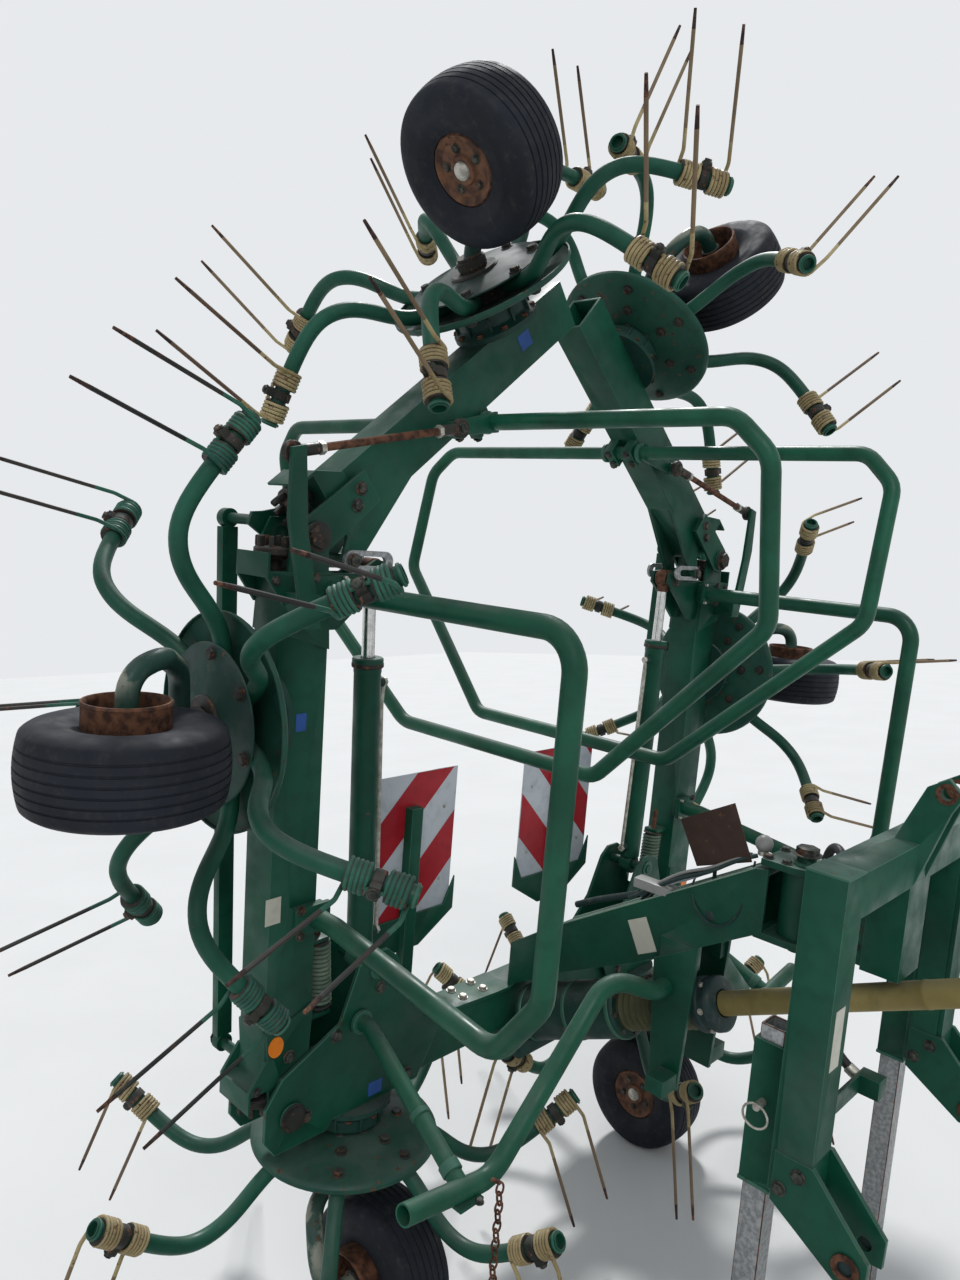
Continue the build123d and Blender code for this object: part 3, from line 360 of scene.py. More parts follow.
def smooth(route, per=6):
    """A smooth curve near a route, through its ends."""
    pts = [Vector(p) for p in route]
    pts = [2 * pts[0] - pts[1]] + pts + [2 * pts[-1] - pts[-2]]
    out = []
    for i in range(len(pts) - 3):
        a, b, c, d = pts[i:i + 4]
        for k in range(per):
            t = k / per
            out.append(((1 - t) ** 3 * a + (3 * t ** 3 - 6 * t * t + 4) * b
                        + (-3 * t ** 3 + 3 * t * t + 3 * t + 1) * c + t ** 3 * d) / 6)
    out.append((pts[-3] + 4 * pts[-2] + pts[-1]) / 6)
    return out


# The share of a tube's radius that is open
BORE = 0.82


def tube(path, radius, sides=14, closed=False, hole=0.0):
    """A round tube along a path, with its ends closed, or open at the last end to a depth."""
    count = len(path)
    tangents = []
    for i in range(count):
        if closed:
            t = path[(i + 1) % count] - path[i - 1]
        else:
            t = path[min(i + 1, count - 1)] - path[max(i - 1, 0)]
        tangents.append(t.normalized())
    side = tangents[0].orthogonal().normalized()
    points, faces = [], []
    for i in range(count):
        if i:
            side = tangents[i - 1].rotation_difference(tangents[i]) @ side
            side = (side - tangents[i] * side.dot(tangents[i])).normalized()
        other = tangents[i].cross(side)
        r = radius[i] if isinstance(radius, list) else radius
        for k in range(sides):
            a = 2 * pi * k / sides
            points.append(path[i] + side * (r * cos(a)) + other * (r * sin(a)))
    last = count if closed else count - 1
    twist = 0
    if closed:
        first = points[0] - path[0]
        best = None
        for k in range(sides):
            d = (points[(count - 1) * sides + k] - path[-1] - first).length
            if best is None or d < best:
                best, twist = d, k
    for i in range(last):
        j = (i + 1) % count
        shift = twist if j == 0 else 0
        for k in range(sides):
            a = i * sides + (k + shift) % sides
            b = i * sides + (k + 1 + shift) % sides
            faces.append((a, b, j * sides + (k + 1) % sides, j * sides + k))
    if not closed:
        faces.append(tuple(reversed(range(sides))))
        end = (count - 1) * sides
        if hole:
            inner = []
            for depth in (0, hole):
                for k in range(sides):
                    p = path[-1] - tangents[-1] * depth
                    inner.append(p + (points[end + k] - path[-1]) * BORE)
            base = len(points)
            points += inner
            for k in range(sides):
                j = (k + 1) % sides
                faces.append((end + k, end + j, base + j, base + k))
                faces.append((base + k, base + j, base + sides + j, base + sides + k))
            faces.append(tuple(range(base + sides, base + 2 * sides)))
        else:
            faces.append(tuple(range(end, end + sides)))
    return points, faces


def prism(outline, thickness, bevel=1.5):
    """A plate from its outline in x and y, centred on z, with broken edges."""
    bm = bmesh.new()
    half = thickness / 2
    bottom = [bm.verts.new((x, y, -half)) for x, y in outline]
    bm.faces.new(bottom)
    result = bmesh.ops.extrude_face_region(bm, geom=bm.faces[:])
    bmesh.ops.translate(bm, vec=(0, 0, thickness),
                        verts=[e for e in result["geom"] if isinstance(e, bmesh.types.BMVert)])
    bmesh.ops.recalc_face_normals(bm, faces=bm.faces[:])
    if bevel:
        bmesh.ops.bevel(bm, geom=bm.edges[:], offset=bevel, segments=2, affect="EDGES", profile=0.6)
    return from_bmesh(bm)


def rectangle(width, height):
    """The corners of a rectangle about the middle."""
    x, y = width / 2, height / 2
    return [(-x, -y), (x, -y), (x, y), (-x, y)]


def block(size, bevel=2.0):
    """A box about the middle with broken edges."""
    return prism(rectangle(size[0], size[1]), size[2], bevel)


def from_bmesh(bm):
    """The points and faces of a bmesh, which is freed."""
    bm.verts.index_update()
    points = [v.co.copy() for v in bm.verts]
    faces = [tuple(v.index for v in f.verts) for f in bm.faces]
    bm.free()
    return points, faces


def bolt(across, height, washer=True):
    """A hexagon head on a washer, its seat at z 0."""
    r = across / 2 / cos(pi / 6)
    shape = [lathe(((0, height), (0.8 * r, height), (r, height - 1.6), (r, 2), (0, 2)), 6)]
    if washer:
        shape.append(lathe(((0, 2.2), (r * 1.22, 2.2), (r * 1.28, 1.6), (r * 1.28, 0)), 18))
    return merge(shape)


def circle(count, radius, z=0.0):
    """The moves to places evenly round the z axis."""
    angles = [2 * pi * i / count for i in range(count)]
    return [shift(radius * cos(a), radius * sin(a), z) for a in angles]


def merge(shapes):
    """Several shapes as one."""
    points, faces = [], []
    for p, f in shapes:
        base = len(points)
        points += p
        faces += [tuple(i + base for i in face) for face in f]
    return points, faces


def moved(shape, matrix):
    """A shape taken through a matrix."""
    return [matrix @ p for p in shape[0]], shape[1]


class Piece:
    """Collects shapes with their materials in millimetres and makes one object of them."""

    def __init__(self, name):
        self.name = name
        self.points = []
        self.faces = []
        self.indexes = []
        self.materials = []

    def take(self, points, faces, materials, matrix):
        """Points and faces, with the faces' materials in the same order, through a matrix."""
        base = len(self.points)
        self.points += [matrix @ p for p in points] if matrix else points
        flip = matrix is not None and matrix.to_3x3().determinant() < 0
        for face, material in zip(faces, materials):
            if material not in self.materials:
                self.materials.append(material)
            face = tuple(i + base for i in face)
            self.faces.append(tuple(reversed(face)) if flip else face)
            self.indexes.append(self.materials.index(material))
        return self

    def add(self, shape, material, matrix=None):
        """A shape of one material."""
        return self.take(shape[0], shape[1], [material] * len(shape[1]), matrix)

    def copy_from(self, other, matrix):
        """Every shape of another piece again."""
        return self.take(other.points, other.faces, [other.materials[i] for i in other.indexes], matrix)

    def bolt(self, size, point, way, material=None, washer=True):
        """A bolt head of a width and height, seated at a point and facing a way."""
        return self.add(bolt(*size, washer), material or BOLT, frame_at(point, way))

    def bar(self, start, end, radius, material, sides=24, edge=1.5, place=None):
        """A round bar between two points with broken edges."""
        line = Vector(end) - Vector(start)
        far, inner = line.length, radius - edge
        profile = ((0, 0), (inner, 0), (radius, edge), (radius, far - edge), (inner, far), (0, far))
        return self.add(moved(lathe(profile, sides), frame_at(start, line)), material, place)

    def make(self, matrix, body, slot=None, node=None, sharp=32):
        """The object, riding on its body, in place of a CAD node where one is named."""
        mesh = bpy.data.meshes.new(self.name)
        faces = self.faces
        if matrix.to_3x3().determinant() < 0:
            faces = [tuple(reversed(f)) for f in faces]
        mesh.from_pydata([tuple(matrix @ p) for p in self.points], [], faces)
        mesh.polygons.foreach_set("material_index", self.indexes)
        for material in self.materials:
            mesh.materials.append(material)
        mesh.shade_smooth()
        mesh.set_sharp_from_angle(angle=radians(sharp))
        mesh.validate()
        mesh.update()
        thing = put(self.name, mesh)
        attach(thing, body)
        if node:
            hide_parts(node)
            slot = slot or SLOT_OF[node]
        return thing


def across_row(x, y, z):
    """The matrix of a flat shape that stands across the row, facing the front."""
    return Matrix(((1, 0, 0, x), (0, 0, -1, y), (0, 1, 0, z), (0, 0, 0, 1)))


def plate_xz(outline, y, thickness, bevel=1.5):
    """A plate across the row, from its outline in x and z."""
    return moved(prism(outline, thickness, bevel), across_row(0, y, 0))


def sheet(width, height, place):
    """A thin blank sheet, such as a sticker."""
    return moved(prism(rectangle(width, height), 0.8, 0), place)


def box(x, y, z, bevel=2.0):
    """A box between pairs of limits."""
    sizes = (x[1] - x[0], y[1] - y[0], z[1] - z[0])
    middle = ((x[0] + x[1]) / 2, (y[0] + y[1]) / 2, (z[0] + z[1]) / 2)
    return moved(block(sizes, bevel), Matrix.Translation(middle))


def helix(start, axis, across, radius, turns, length, per_turn=16):
    """The points of a coil along an axis, turning from one direction across it towards the other."""
    axis = Vector(axis).normalized()
    first = Vector(across).normalized()
    second = axis.cross(first)
    count = int(per_turn * turns)
    out = []
    for k in range(count + 1):
        a = 2 * pi * turns * k / count
        out.append(Vector(start) + axis * (length * k / count) + (first * cos(a) + second * sin(a)) * radius)
    return out


def cut(polygon, a, b, limit):
    """The part of a polygon where a x + b y is at most a limit."""
    out = []
    for p, q in zip(polygon, polygon[1:] + polygon[:1]):
        p_in = a * p[0] + b * p[1] <= limit
        q_in = a * q[0] + b * q[1] <= limit
        if p_in:
            out.append(p)
        if p_in != q_in:
            t = (limit - a * p[0] - b * p[1]) / (a * (q[0] - p[0]) + b * (q[1] - p[1]))
            out.append((p[0] + t * (q[0] - p[0]), p[1] + t * (q[1] - p[1])))
    return out


# Rotors
PAN = ((64, 16), (90, 14.5), (150, 5.5), (205, -3), (226, -7.5), (233, -11), (236.6, -16), (237, -26),
       (233.5, -26),
       (232.5, -17), (226, -12.5), (150, 0), (90, 8), (64, 8), (64, 16))
HUB = ((36, 14), (58, 14), (62, 10), (62, -30), (74, -34), (74, -44), (62, -50), (62, -62), (58, -66),
       (36, -66))
CONE = ((62, -44), (80, -45), (150, -45), (168, -45), (172, -48), (170, -51), (150, -51), (84, -58),
        (62, -60))
ARM_BENDS = ((100, 0, -18), (212, 0, -30), (300, 0, -118), (372, 0, -148), (450, 0, -140))
ARM_R = 18.6
COIL = Vector((580, 0, -41))
COIL_AXIS = (COIL - Vector(ARM_BENDS[-1])).normalized()
COIL_OUT = Vector((COIL_AXIS.z, 0, -COIL_AXIS.x))
COIL_GAP = 26
COIL_LENGTH = 50
COIL_R = 26.6
COIL_TURNS = 4.75
WIRE_R = 4.3
TINE_LENGTH = 325
TINE_LEAN = 20.5
TINE_KINK = 46
TINE_PAINTED = 0.16
TINE_RUSTY = 0.86
STUB = 12
# Radius of a dark sleeve inside each coil that paints shade in the grooves between the turns of wire
COIL_SHADE_R = 28.4
TINE_R = 4.7
# Bolts along an arm: distance from the middle, height and turn
ARM_BOLTS = ((196, -3.5, 0), (132, 7, 0), (150, -51, pi))
HUB_BOLTS = 8


def make_arm(coil_material, wire_material):
    """A bent arm with its two coiled tines, one wire held by a clamp."""
    arm = Piece("arm")
    reach = COIL_GAP / 2 + COIL_LENGTH
    end = COIL + COIL_AXIS * (reach + STUB)
    path = smooth([Vector(p) for p in ARM_BENDS] + [COIL, end], 6)
    arm.add(tube(path, ARM_R, 18, hole=18), GREEN_ARM)
    flange = ((ARM_R - 2, -3), (ARM_R + 3, -3), (ARM_R + 4, 0), (ARM_R + 3, 3), (ARM_R - 2, 3))
    arm.add(lathe(flange, 24), GREEN_EDGE, frame_at(end - COIL_AXIS * STUB / 2, COIL_AXIS))
    down = Vector((sin(radians(TINE_LEAN)), 0, -cos(radians(TINE_LEAN))))
    room = COIL_LENGTH - 2 * WIRE_R
    for sign in (-1, 1):
        inner = COIL + COIL_AXIS * sign * (COIL_GAP / 2 + WIRE_R)
        winding = []
        count = int(20 * COIL_TURNS)
        for k in range(count + 1):
            a = -2 * pi * COIL_TURNS * (1 - k / count)
            side = Vector((0, 1, 0)) * cos(a) + COIL_OUT * sin(a)
            winding.append(inner + COIL_AXIS * sign * room * k / count + side * COIL_R)
        first = winding[0] - COIL_AXIS * sign * (COIL_GAP / 2 + WIRE_R)
        arm.add(tube([first] + winding, WIRE_R, 8), coil_material)
        # A dark sleeve inside the coil: painted shade in the grooves between the turns of wire
        coil_shade = frame_at(inner, COIL_AXIS * sign)
        arm.add(lathe(((ARM_R, 0), (COIL_SHADE_R, 0), (COIL_SHADE_R, room), (ARM_R, room)), 24), CAST, coil_shade)
        root = winding[-1]
        bend = root + COIL_OUT * TINE_KINK
        parts = ((0, TINE_PAINTED, coil_material), (TINE_PAINTED, TINE_RUSTY, wire_material),
                 (TINE_RUSTY, 1, TINE_TIP))
        for a, b, material in parts:
            path = [bend + down * (TINE_LENGTH - TINE_KINK) * t for t in (a, b)]
            if a == 0:
                path = rounded([root, bend, path[1]], 40)
            arm.add(tube(path, [TINE_R] * (len(path) - 1) + [TINE_R if b < 1 else 3.4], 8), material)
    clamp = frame_at(COIL + COIL_OUT * (COIL_R - 2), COIL_OUT, COIL_AXIS)
    arm.add(block((21, 28, 24), 3), CAST, clamp)
    arm.add(bolt(16, 8), BOLT, clamp @ shift(0, 0, 12))
    sleeve = ((18, -11), (23, -11), (24.5, -9), (24.5, 9), (23, 11), (18, 11))
    arm.add(lathe(sleeve, 24), CAST, frame_at(COIL, COIL_AXIS))
    return arm


def make_rotors():
    """Six rotors: disc, hub and seven arms, turned so that neighbours mesh."""
    arms = {"green": make_arm(GREEN_COIL, TINE_DARK), "yellow": make_arm(YELLOW_COIL, TINE)}
    # Tines trail, so their side changes with a rotor's direction.
    other_side = Matrix.Scale(-1, 4, (0, 1, 0))
    over = spin(pi, "X")
    for side in SIDES:
        for station in STATIONS:
            name = side + "_" + station + "_rotor"
            rotor = Piece(name + "_dressed")
            rotor.add(lathe(PAN, 64), GREEN_PAN)
            rotor.add(lathe(HUB, 48), CAST)
            rotor.add(lathe(CONE, 56), GREEN_DEEP)
            for under, top in zip(circle(HUB_BOLTS, 68, -44), circle(HUB_BOLTS, 76, 14.5)):
                rotor.add(bolt(13, 8, False), BOLT, under @ over)
                rotor.add(bolt(15, 7), BOLT, top)
            arm = arms["green" if (side, station) == ("near", "inner") else "yellow"]
            sign = STATION_SIGN[station]
            flipped = (sign > 0) == (side == "near")
            for i in range(ARM_COUNT):
                turn = spin(2 * pi * i / ARM_COUNT)
                rotor.copy_from(arm, turn @ other_side if flipped else turn)
                for r, z, flip in ARM_BOLTS:
                    rotor.add(bolt(22, 11), CAST, turn @ shift(r, 0, z) @ spin(flip, "X"))
            turned = -sign * ROTOR_TURN
            if side == "far":
                turned += sign * 180 / ARM_COUNT
            place = shift(ROTOR_X[station], 0, 0) @ spin(radians(turned))
            rotor.make(seat(station, side) @ place, name, node=name)


# Wheels
TYRE_HALF = 79
CROWN = 13
GROOVES = (-45, -27, -9, 9, 27, 45)
GROOVE_HALF = 1.5
GROOVE_DEPTH = 2.6
GROOVE = ((-GROOVE_HALF - 1, 0), (-GROOVE_HALF, GROOVE_DEPTH), (GROOVE_HALF, GROOVE_DEPTH),
          (GROOVE_HALF + 1, 0))
SHOULDER = ((170.5, -69.5), (163, -74.5), (153, -77.5), (140, -79), (124, -78.4), (120, -79.4), (112, -79),
            (96, -75), (84, -70), (78.6, -68))
RIM = ((74, -70), (77.7, -66), (77.7, 108), (79.5, 112), (78, 117), (74, 117), (71, 112), (70, 106),
       (70, -44), (66, -49), (42, -49), (36, -45), (34, -12), (31, -6), (16, -6))
RIM_BACK = ((74, -70), (69, -69), (60, -62), (34, -62), (30, -70), (16, -70))
CAP = ((0, -78), (12, -77), (19, -74), (22, -68), (22, -60))
RIM_BOLTS = 5
LEG_BENDS = ((0, 0, -78), (22, -6, -118), (128, -52, -146), (176, -138, -226), (148, -159, -304),
             (16, -159, -304))
LEG_R = 21


def tread():
    """The outline of a ribbed tyre, from one bead round to the other."""
    edge = GROOVES[-1] + 15
    right = [(r, -x) for r, x in SHOULDER[::-1]]
    crown = []
    for x in GROOVES:
        for dx, depth in GROOVE:
            crown.append((TYRE_R - CROWN * ((x + dx) / TYRE_HALF) ** 2 - depth, x + dx))
    crown = [(TYRE_R - CROWN * (edge / TYRE_HALF) ** 2, -edge)] + crown
    crown.append((TYRE_R - CROWN * (edge / TYRE_HALF) ** 2, edge))
    return list(SHOULDER[::-1]) + [(174.6, -65.5)] + crown + [(174.6, 65.5)] + right[::-1]


def make_wheels():
    """Six ribbed tyres on pressed rims."""
    for side in SIDES:
        for station in STATIONS:
            name = side + "_" + station
            hub = shift(ROTOR_X[station] + WHEEL[0], WHEEL[1], WHEEL[2])
            place = seat(station, side) @ (hub @ spin(pi / 2, "Y"))
            tyre = Piece(name + "_tyre_ribbed")
            tyre.add(lathe(tread(), 72), TYRE)
            tyre.make(place, name + "_wheel", node=name + "_tyre", sharp=28)
            rim = Piece(name + "_rim_pressed")
            rim.add(lathe(RIM, 56), RUST)
            rim.add(lathe(RIM_BACK, 56), RUST if station == "inner" else RIM_RUST)
            rim.add(lathe(CAP, 28), STEEL)
            for front, back in zip(circle(RIM_BOLTS, 52, -49), circle(RIM_BOLTS, 46, -62)):
                rim.add(bolt(15, 8), BOLT, front)
                rim.add(bolt(15, 7), BOLT, back @ spin(pi, "X"))
            rim.make(place, name + "_wheel", node=name + "_rim")


# Gearboxes, wheel legs and clutches
GEARBOX = ((36, 20), (80, 20), (90, 24), (95, 31), (95, 58), (99, 64), (108, 70), (112, 74), (112, 87),
           (0, 87))
GEARBOX_BOLTS = 10
CLUTCH_R = 46
CLUTCH_Z = 100
CLUTCH_FINGERS = 8


def add_station(piece, hub_x):
    """A gearbox with its ribs and bolts, and the bent leg of the wheel under it."""
    at_hub = shift(hub_x, 0, 0)
    piece.add(lathe(GEARBOX, 56), GREEN_DEEP, at_hub)
    step = 2 * pi / GEARBOX_BOLTS
    for i in range(GEARBOX_BOLTS):
        head = moved(bolt(14, 8), shift(103, 0, 71) @ spin(pi, "X"))
        piece.add(head, RUST, at_hub @ spin(step * (i + 0.5)))
        piece.add(box((84, 103), (-3, 3), (34, 72), 1.5), GREEN_DEEP, at_hub @ spin(step * i))
    piece.bar((hub_x, 0, 84), (hub_x, 0, -100), 32, CAST, 32)
    route = rounded([Vector((hub_x, 0, 0)) + Vector(p) for p in LEG_BENDS], 88)
    piece.add(tube(route, LEG_R, 22), LEG_PAINT)
    piece.bar((hub_x, 0, -70), (hub_x, 0, -92), 38, CAST)
    x, y, z = hub_x + WHEEL[0], WHEEL[1], WHEEL[2]
    piece.bar((hub_x + 84, y, z), (hub_x + 62, y, z), 27, CAST)
    piece.bar((x - 52, y, z), (x + 52, y, z), 14.8, STEEL)


def add_clutch(piece, hinge_x, inward):
    """Half of a finger clutch with eight rounded fingers."""
    face, disc, boss, cap = ((hinge_x + inward * reach, 0, CLUTCH_Z) for reach in (3, 27, 47, HINGE_ROOM))
    piece.bar(disc, cap, 18, CAST)
    piece.bar(disc, boss, CLUTCH_R, CAST, 40, 4)
    piece.bar(boss, (hinge_x + inward * 55, 0, CLUTCH_Z), 28, CAST, 32, 3)
    for i in range(CLUTCH_FINGERS):
        finger = moved(block((15, 12, 24), 4), shift(CLUTCH_R - 10, 0, 13))
        piece.add(finger, CAST, frame_at(face, (inward, 0, 0)) @ spin(2 * pi * i / CLUTCH_FINGERS))


DRIVE_RISE = 25
DRIVE_START = 92
HOUSING = (105, 430)
DRIVE_LINE = Vector((0, -cos(radians(DRIVE_RISE)), sin(radians(DRIVE_RISE))))


def drive_point(forward):
    """A point of the drive shaft's line, a distance forward of the row."""
    return Vector((0, -forward, DRIVE_START + tan(radians(DRIVE_RISE)) * forward))


HOUSING_R = 78
HOUSING_RINGS = (0.04, 0.5, 0.93)


def make_drives():
    """The gearboxes, wheel legs and clutches on each beam, with the middle input housing."""
    centre = Piece("centre_drive_dressed")
    for sign in (1, -1):
        half = Piece("half")
        add_station(half, ROTOR_X["centre"])
        add_clutch(half, PIVOT_1[0], -1)
        centre.copy_from(half, Matrix.Scale(sign, 4, (1, 0, 0)))
    centre.add(box((-100, 100), (-150, 85), (46, 87), 9), GREEN_DEEP)
    start, end = (drive_point(forward) for forward in HOUSING)
    centre.bar(start, end, HOUSING_R, GREEN_DEEP, 56, 6)
    for share in HOUSING_RINGS:
        at = start.lerp(end, share)
        centre.bar(at, at + DRIVE_LINE * 14, HOUSING_R + 2.5, GREEN_EDGE, 56, 3)
    for place in circle(8, 66):
        centre.add(bolt(13, 7), BOLT, frame_at(end - DRIVE_LINE * 2, DRIVE_LINE) @ place)
    centre.make(seat("centre", "far"), "frame", node="centre_drive")
    for side in SIDES:
        for station, joins in (("inner", ((PIVOT_1[0], 1), (PIVOT_2[0], -1))), ("outer", ((PIVOT_2[0], 1),))):
            name = side + "_" + station
            drive = Piece(name + "_drive_dressed")
            add_station(drive, ROTOR_X[station])
            for x, inward in joins:
                add_clutch(drive, x, inward)
            drive.make(seat(station, side), name + "_wing", node=name + "_drive")


# Guards
GUARD_TUBE_R = 23
GUARD_Z = 200
GUARD_BEND = 75
BOW_TUBE_R = 20
BOW_CORNERS = ((0, 748), (80, 828), (430, 828), (880, 360), (880, -360), (430, -828), (80, -828), (0, -748))
CRANK = 140
CRANK_ANGLE = 88
LINK_ARM = (170, -90)
LINK_Y = -108
CENTRE_GUARD = ((85.3, -580, 440), (130, -580, 440), (220, -500, 474), (598, -500, 128), (860, -500, 170))
STRUT = ((640, -76.3, 320), (640, -116, 320), (690, -500, 142))
STRUT_LINE = Vector((50, -384, -178)).normalized()
# Sleeves on the strut: place, direction, radius and half length
SLEEVES = (((668, -334, 219), STRUT_LINE, 23, 7), ((684, -455, 163), STRUT_LINE, 24, 12),
           ((640, -84, 320), Vector((0, -1, 0)), 30, 6))
# The inner guard's corners: distance from the first hinge, and y
INNER_GUARD = ((1222, -64), (1222, -758), (540, -744), (400, -640), (470, -140), (470, -64))


def closed_route(points, radius):
    """A closed route with its corners rounded."""
    pts = [Vector(p) for p in points]
    middle = (pts[-1] + pts[0]) / 2
    return rounded([middle] + pts + [middle], radius)[:-1]


def make_guards():
    """The bent tubes round the rotors: beside the boom, on the inner wings, and the swinging bows."""
    for side in SIDES:
        make_centre_guard(side)
        make_inner_guard(side)
        make_bow(side)


def make_centre_guard(side):
    """The bent tube beside the boom, with its strut."""
    name = side + "_centre_guard"
    guard = Piece(name + "_bent")
    guard.add(tube(rounded(CENTRE_GUARD, 90), GUARD_TUBE_R, 20, hole=60), GUARD_PAINT)
    guard.add(tube(rounded(STRUT, 50), 20, 18), GUARD_PAINT)
    for point, line, r, half in SLEEVES:
        guard.bar(Vector(point) - line * half, Vector(point) + line * half, r, GREEN_EDGE)
    guard.add(box((655, 725), (-532, -468), (120, 128), 2), GREEN)
    for y in (-534, -462):
        guard.bolt((15, 9), (672, y, 124), (0, 0, 1))
    guard.make(seat("centre", side), "frame", node=name)


def make_inner_guard(side):
    """The bent tube on the inner beam."""
    name = side + "_inner_guard"
    guard = Piece(name + "_bent")
    route = [(PIVOT_1[0] + dx, y, GUARD_Z) for dx, y in INNER_GUARD]
    guard.add(tube(rounded(route, GUARD_BEND), GUARD_TUBE_R, 20), GUARD_PAINT)
    for at in (route[-1][0], route[0][0]):
        guard.add(box((at - 34, at + 34), (-78, -64.4), (GUARD_Z - 60, GUARD_Z + 36), 3), GREEN)
        for dx in (-30, 30):
            guard.bolt((16, 9), (at + dx, -78, GUARD_Z - 48), (0, -1, 0))
            guard.bar((at + dx, -78, GUARD_Z + 30), (at + dx, -88, GUARD_Z + 30), 5, STEEL, 12, 1)
    guard.make(seat("inner", side), side + "_inner_wing", node=name)


def crank_tip():
    """The pin of the guard bow's crank in x and z, with the bow in its working position."""
    a = radians(CRANK_ANGLE)
    return BOW_BAR[0] + CRANK * cos(a), BOW_BAR[1] + CRANK * sin(a)


def make_bow(side):
    """The swinging bow round the outer rotor, with its crank."""
    name = side + "_guard_bow"
    bow = Piece(name + "_bent")
    bx, bz = BOW_BAR
    corners = [(bx + dx, y, bz) for dx, y in BOW_CORNERS]
    bow.add(tube(closed_route(corners, 70), BOW_TUBE_R, 18, closed=True), GUARD_PAINT)
    x, z = crank_tip()
    crank_y = LINK_Y + 26
    outline = ((bx - 26, bz - 14), (bx + 26, bz - 14), (x + 17, z), (x + 8, z + 16), (x - 8, z + 16),
               (x - 17, z))
    bow.add(plate_xz(outline, crank_y, 14, 3), GREEN)
    bow.bar((x, crank_y - 13, z), (x, crank_y + 13, z), 18, GREEN)
    bow.bolt((20, 11), (x, crank_y + 13, z), (0, 1, 0))
    for y in (-62, 62):
        bow.bar((bx, y - 6, bz), (bx, y + 6, bz), 29, GREEN_EDGE)
    bow.make(seat("bow", side), side + "_guard_bow", node=name)


# Cylinders, links and rods
CYLINDER_BASE = Vector((590, 0, 440))
CYLINDER_EYE = Vector((634, 0, 1418))
CYLINDER_LINE = (CYLINDER_EYE - CYLINDER_BASE).normalized()
BARREL = 745


def make_cylinders():
    """The lift cylinders of the inner wings and the push rods of the guard bows."""
    for side in SIDES:
        make_barrel(side)
        make_rod(side)
        make_guard_link(side)


def make_barrel(side):
    """A lift cylinder's barrel with its ports and pipe."""
    base, line = CYLINDER_BASE, CYLINDER_LINE
    barrel = Piece(side + "_lift_barrel_dressed")
    eye = ((16, -22), (29, -22), (32, -19), (32, 19), (29, 22), (16, 22), (16, -22))
    barrel.add(lathe(eye, 36), GREEN, frame_at(base, (0, 1, 0)))
    profile = ((0, 20), (27, 20), (33, 27), (33, BARREL - 14), (34, BARREL - 12), (34, BARREL + 2),
               (36, BARREL + 4), (38, BARREL + 7), (38, BARREL + 20), (35, BARREL + 23), (19, BARREL + 23),
               (16.6, BARREL + 19))
    barrel.add(lathe(profile, 40), GREEN, frame_at(base, line))
    barrel.bar(base + line * (BARREL - 2), base + line * (BARREL + 12), 39, CAST, 40, 3)
    side_way = Vector((-1, 0, 0))
    for t in (60, BARREL - 40):
        port = base + line * t
        barrel.bar(port + side_way * 26, port + side_way * 48, 13, GREEN_DEEP)
        barrel.bolt((19, 12), port + side_way * 48, side_way, STEEL, False)
    pipe = [base + line * t + Vector((out, 0, 0))
            for t, out in ((60, -52), (100, -52), (BARREL - 90, -46), (BARREL - 42, -52))]
    barrel.add(tube(rounded(pipe, 30), 6, 10), STEEL)
    barrel.make(seat("centre", side), side + "_lift_barrel", node=side + "_lift_barrel")


def make_rod(side):
    """A lift cylinder's rod with its eye."""
    line, eye = CYLINDER_LINE, CYLINDER_EYE
    rod = Piece(side + "_lift_rod_dressed")
    rod.bar(CYLINDER_BASE + line * 125, eye - line * 20, 15.8, CHROME, 32)
    rod.bar(eye + Vector((0, -20, 0)), eye + Vector((0, 20, 0)), 28, RUST, 36, 3)
    rod.bar(eye - line * 46, eye - line * 16, 19, RUST, 28, 3)
    rod.bar(eye + Vector((0, -24, 0)), eye + Vector((0, 24, 0)), 13, STEEL)
    rod.make(seat("centre", side), side + "_lift_rod", node=side + "_lift_rod")


def make_guard_link(side):
    """The push rod from the inner beam to the bow's crank."""
    x, z = crank_tip()
    folded = turn_about(PIVOT_2, OUTER_FOLD) @ turn_about(BOW_BAR, BOW_FOLD) @ Vector((x, 0, z))
    start = Vector((PIVOT_2[0] + LINK_ARM[0], LINK_Y, PIVOT_2[1] + LINK_ARM[1]))
    end = Vector((folded.x, LINK_Y, folded.z))
    along = (end - start).normalized()
    link = Piece(side + "_guard_link_dressed")
    link.bar(start, end, 9, RUST, 20)
    for point, way in ((start, along), (end, -along)):
        link.bar(point + Vector((0, -8, 0)), point + Vector((0, 8, 0)), 24, CAST, 30, 3)
        link.bar(point + way * 16, point + way * 66, 13, CAST, 20, 3)
        link.add(lathe(((0, 0), (15, 0), (15, 12), (0, 12)), 6), STEEL, frame_at(point + way * 66, way))
        link.bolt((19, 8), point + Vector((0, -8, 0)), (0, -1, 0))
    link.bar(end + Vector((0, 6, 0)), end + Vector((0, 11.5, 0)), 11, STEEL)
    link.make(seat("inner", side), side + "_guard_link", node=side + "_guard_link")


# Drive shaft guard: profiles are pairs of radius and distance along it
BELLOWS_R = 60
BELLOWS_LENGTH = 235
BELLOWS_RIBS = 12
